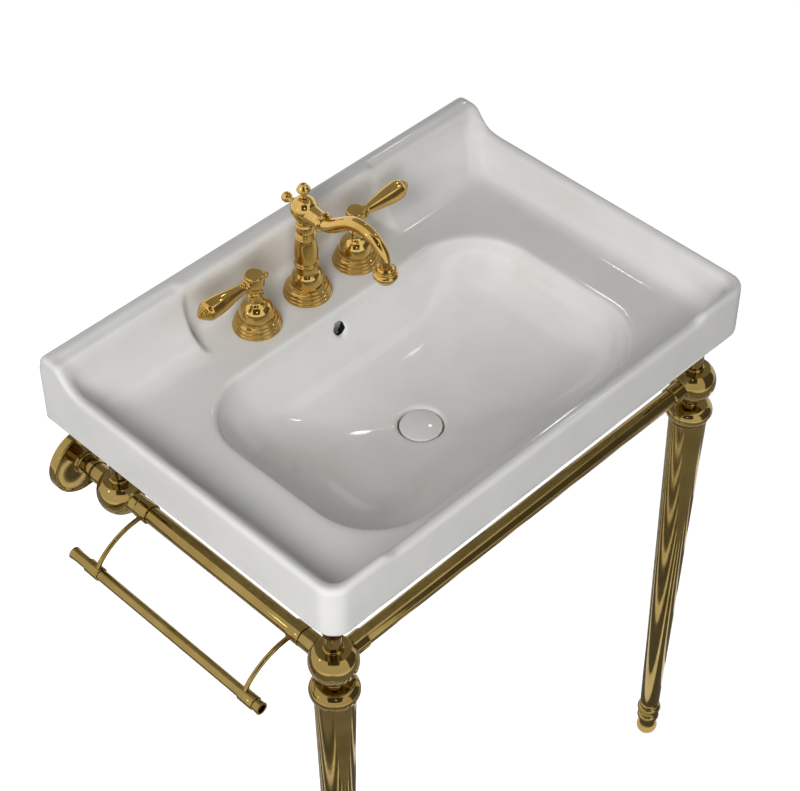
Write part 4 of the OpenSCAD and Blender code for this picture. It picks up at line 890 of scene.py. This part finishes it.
FLOOR_HALF, FLOOR_GLOW = 8, 0.78
floor_mesh = bpy.data.meshes.new("floor")
floor_mesh.from_pydata([(x * FLOOR_HALF, y * FLOOR_HALF, 0)
                        for x, y in ((-1, -1), (1, -1), (1, 1), (-1, 1))], [], [(0, 1, 2, 3)])
floor = bpy.data.objects.new("floor", floor_mesh)
floor.location.z = FLOOR_Z * MM
bpy.context.scene.collection.objects.link(floor)
paper, tree, shader = new_material("paper_sweep", Roughness=0.9)
shader.inputs["Base Color"].default_value = linear("#F4F4F4")
seen = white_for(tree, "Is Camera Ray", "Is Glossy Ray")
glow = add(tree, "ShaderNodeMath", {0: seen, 1: FLOOR_GLOW}, operation="MULTIPLY")
shader.inputs["Emission Color"].default_value = (1, 1, 1, 1)
tree.links.new(glow.outputs[0], shader.inputs["Emission Strength"])
floor.data.materials.append(paper)

# %% [markdown]
# The world does two jobs: it is the white that the camera and the mirror rays see, and for
# all other rays it is a dim fill light, so that the lamps decide the shading.

# %% World
world = bpy.data.worlds.new("studio")
bpy.context.scene.world = world
world.use_nodes = True
tree = world.node_tree
tree.nodes.clear()
seen = white_for(tree, "Is Camera Ray", "Is Glossy Ray", "Is Transmission Ray")
FILL = 0.11
strength = add(tree, "ShaderNodeMapRange", {"Value": seen, "To Min": FILL, "To Max": 1.0})
backdrop = add(tree, "ShaderNodeBackground", {"Color": (1, 1, 1, 1),
                                              "Strength": strength.outputs["Result"]})
add(tree, "ShaderNodeOutputWorld", {"Surface": backdrop.outputs["Background"]})

# %% [markdown]
# The big lamps give the china its light but are hidden from mirror rays, because the glaze in
# the photograph shows none. The sparkle comes from four small lamps that matt surfaces don't
# see and the glaze and the metal do.

# %% Lamps


def softbox(name, way, distance, size, watts):
    """A square area lamp that stands off the basin in a direction and points back at it."""
    lamp = bpy.data.lights.new(name, "AREA")
    lamp.size, lamp.energy = size, watts
    holder = bpy.data.objects.new(name, lamp)
    holder.location = CENTRE + distance * Vector(way).normalized()
    holder.rotation_mode = "QUATERNION"
    holder.rotation_quaternion = (CENTRE - holder.location).to_track_quat("-Z", "Y")
    bpy.context.scene.collection.objects.link(holder)
    return holder


CENTRE = Vector((0, -0.25, 0.05))
LAMP_AWAY, LAMP_SIZE = 3, 1.3
GLINT_AWAY, GLINT_SIZE, GLINT_WATTS = 1.9, 0.09, 0.35
LAMPS = (("key_front_left", (-0.8, -0.8, 0.5), 35), ("key_left", (-1.0, -0.4, 0.9), 44),
         ("side_left", (-1.0, 0.0, 0.45), 3), ("front_right", (0.8, -0.8, 0.5), 8),
         ("right", (1.0, 0.0, 0.8), 2), ("back", (0.3, 1.0, -0.1), 10))
for name, way, watts in LAMPS:
    softbox(name, way, LAMP_AWAY, LAMP_SIZE, watts).visible_glossy = False
GLINTS = (("glint_right", (0.59, -0.14, 0.8)), ("glint_back", (0.59, 0.38, 0.71)),
          ("glint_left", (-0.92, 0.27, 0.29)), ("glint_camera", (-0.5, -0.55, 0.67)))
for name, way in GLINTS:
    softbox(name, way, GLINT_AWAY, GLINT_SIZE, GLINT_WATTS).visible_diffuse = False

# %% [markdown]
# Polished metal shows whatever stands round it. In a white room it would look like yellow
# paint, so photographers hang cards out of the picture. Only mirror rays see these: grey ones
# hang behind and above, lie on the floor with open slots between the legs, and stand at the
# front right, and a dark one stands round the camera.

# %% Cards for the metal to mirror


def card(name, parts, shade):
    """A card of one shade that only mirror rays see, made of four-cornered parts."""
    cloth, tree, shader = new_material("cloth_" + name, Roughness=1.0)
    shader.inputs["Base Color"].default_value = linear("#1E1E1E")
    shader.inputs["Emission Color"].default_value = linear(shade)
    shader.inputs["Emission Strength"].default_value = 1
    mesh = bpy.data.meshes.new(name)
    mesh.from_pydata([c for part in parts for c in part], [],
                     [tuple(range(4 * i, 4 * i + 4)) for i in range(len(parts))])
    mesh.materials.append(cloth)
    made = bpy.data.objects.new(name, mesh)
    bpy.context.scene.collection.objects.link(made)
    made.visible_camera = made.visible_diffuse = made.visible_shadow = made.visible_transmission = False


def low_part(x0, y0, x1, y1):
    """A rectangle that lies just above the floor."""
    z = FLOOR_Z * MM + 0.03
    return [(x0, y0, z), (x1, y0, z), (x1, y1, z), (x0, y1, z)]


card("card_above", [[(-0.5, -1.1, 2.4), (2.9, -1.1, 1.2), (2.9, 2.9, 1.2), (-0.5, 2.9, 2.4)]],
     "#969696")
EDGE, SLATS_FRONT, SLATS_BACK, SLATS_LEFT, SLATS_RIGHT = 1.8, -0.82, 0.5, -0.85, 0.9
SLAT_PITCH, SLAT_W = 0.14, 0.1
card("card_below", [low_part(-EDGE, -EDGE, EDGE, SLATS_FRONT), low_part(-EDGE, SLATS_BACK, EDGE, EDGE),
                    low_part(-EDGE, SLATS_FRONT, SLATS_LEFT, SLATS_BACK),
                    low_part(SLATS_RIGHT, SLATS_FRONT, EDGE, SLATS_BACK)], "#989898")
slats = [SLATS_LEFT + SLAT_PITCH * i for i in range(12)]
card("card_slats", [low_part(x, SLATS_FRONT, x + SLAT_W, SLATS_BACK) for x in slats], "#6A6A6A")
card("card_right", [[(0.6, -2.7, -0.8), (2.7, -1.3, -0.8), (2.7, -1.3, 2.2), (0.6, -2.7, 2.2)]],
     "#606060")

# %% [markdown]
# The dark card stands at right angles to the camera's line of sight, so the direction of the
# camera is worked out first, from its angles round and above the basin.

# %% The dark card round the camera
AZIMUTH, ELEVATION, DARK_CARD_AWAY = -45.32, 44.57, 2.3
azimuth, elevation = math.radians(AZIMUTH), math.radians(ELEVATION)
back = Vector((math.sin(azimuth) * math.cos(elevation), -math.cos(azimuth) * math.cos(elevation),
               math.sin(elevation)))
across = Vector((0, 0, 1)).cross(back).normalized()
upward = back.cross(across)
middle = CENTRE + DARK_CARD_AWAY * back
corners = [middle + a * across + b * upward for a, b in ((-1, -1), (1, -1), (1, 1), (-1, 1))]
card("card_camera", [corners], "#4C4842")

# %% [markdown]
# The camera looks down on the front left corner, as in the photograph. Its place, direction
# and focal length were worked out from points of known size on the object.

# %% Camera
FOCAL_PX, PHOTO_W, SENSOR_W = 2135, 800, 36
CAMERA_AT = (-1.2897, -1.5092, 1.7703)
camera_data = bpy.data.cameras.new("photo_camera")
camera_data.sensor_width = SENSOR_W
camera_data.lens = SENSOR_W * FOCAL_PX / PHOTO_W
camera = bpy.data.objects.new("photo_camera", camera_data)
camera.rotation_mode = "QUATERNION"
camera.location = CAMERA_AT
camera.rotation_quaternion = (-back).to_track_quat("-Z", "Y")
bpy.context.scene.collection.objects.link(camera)
bpy.context.scene.camera = camera
bpy.context.scene.view_settings.view_transform = "Standard"
print("lens", round(camera_data.lens, 1), "mm")
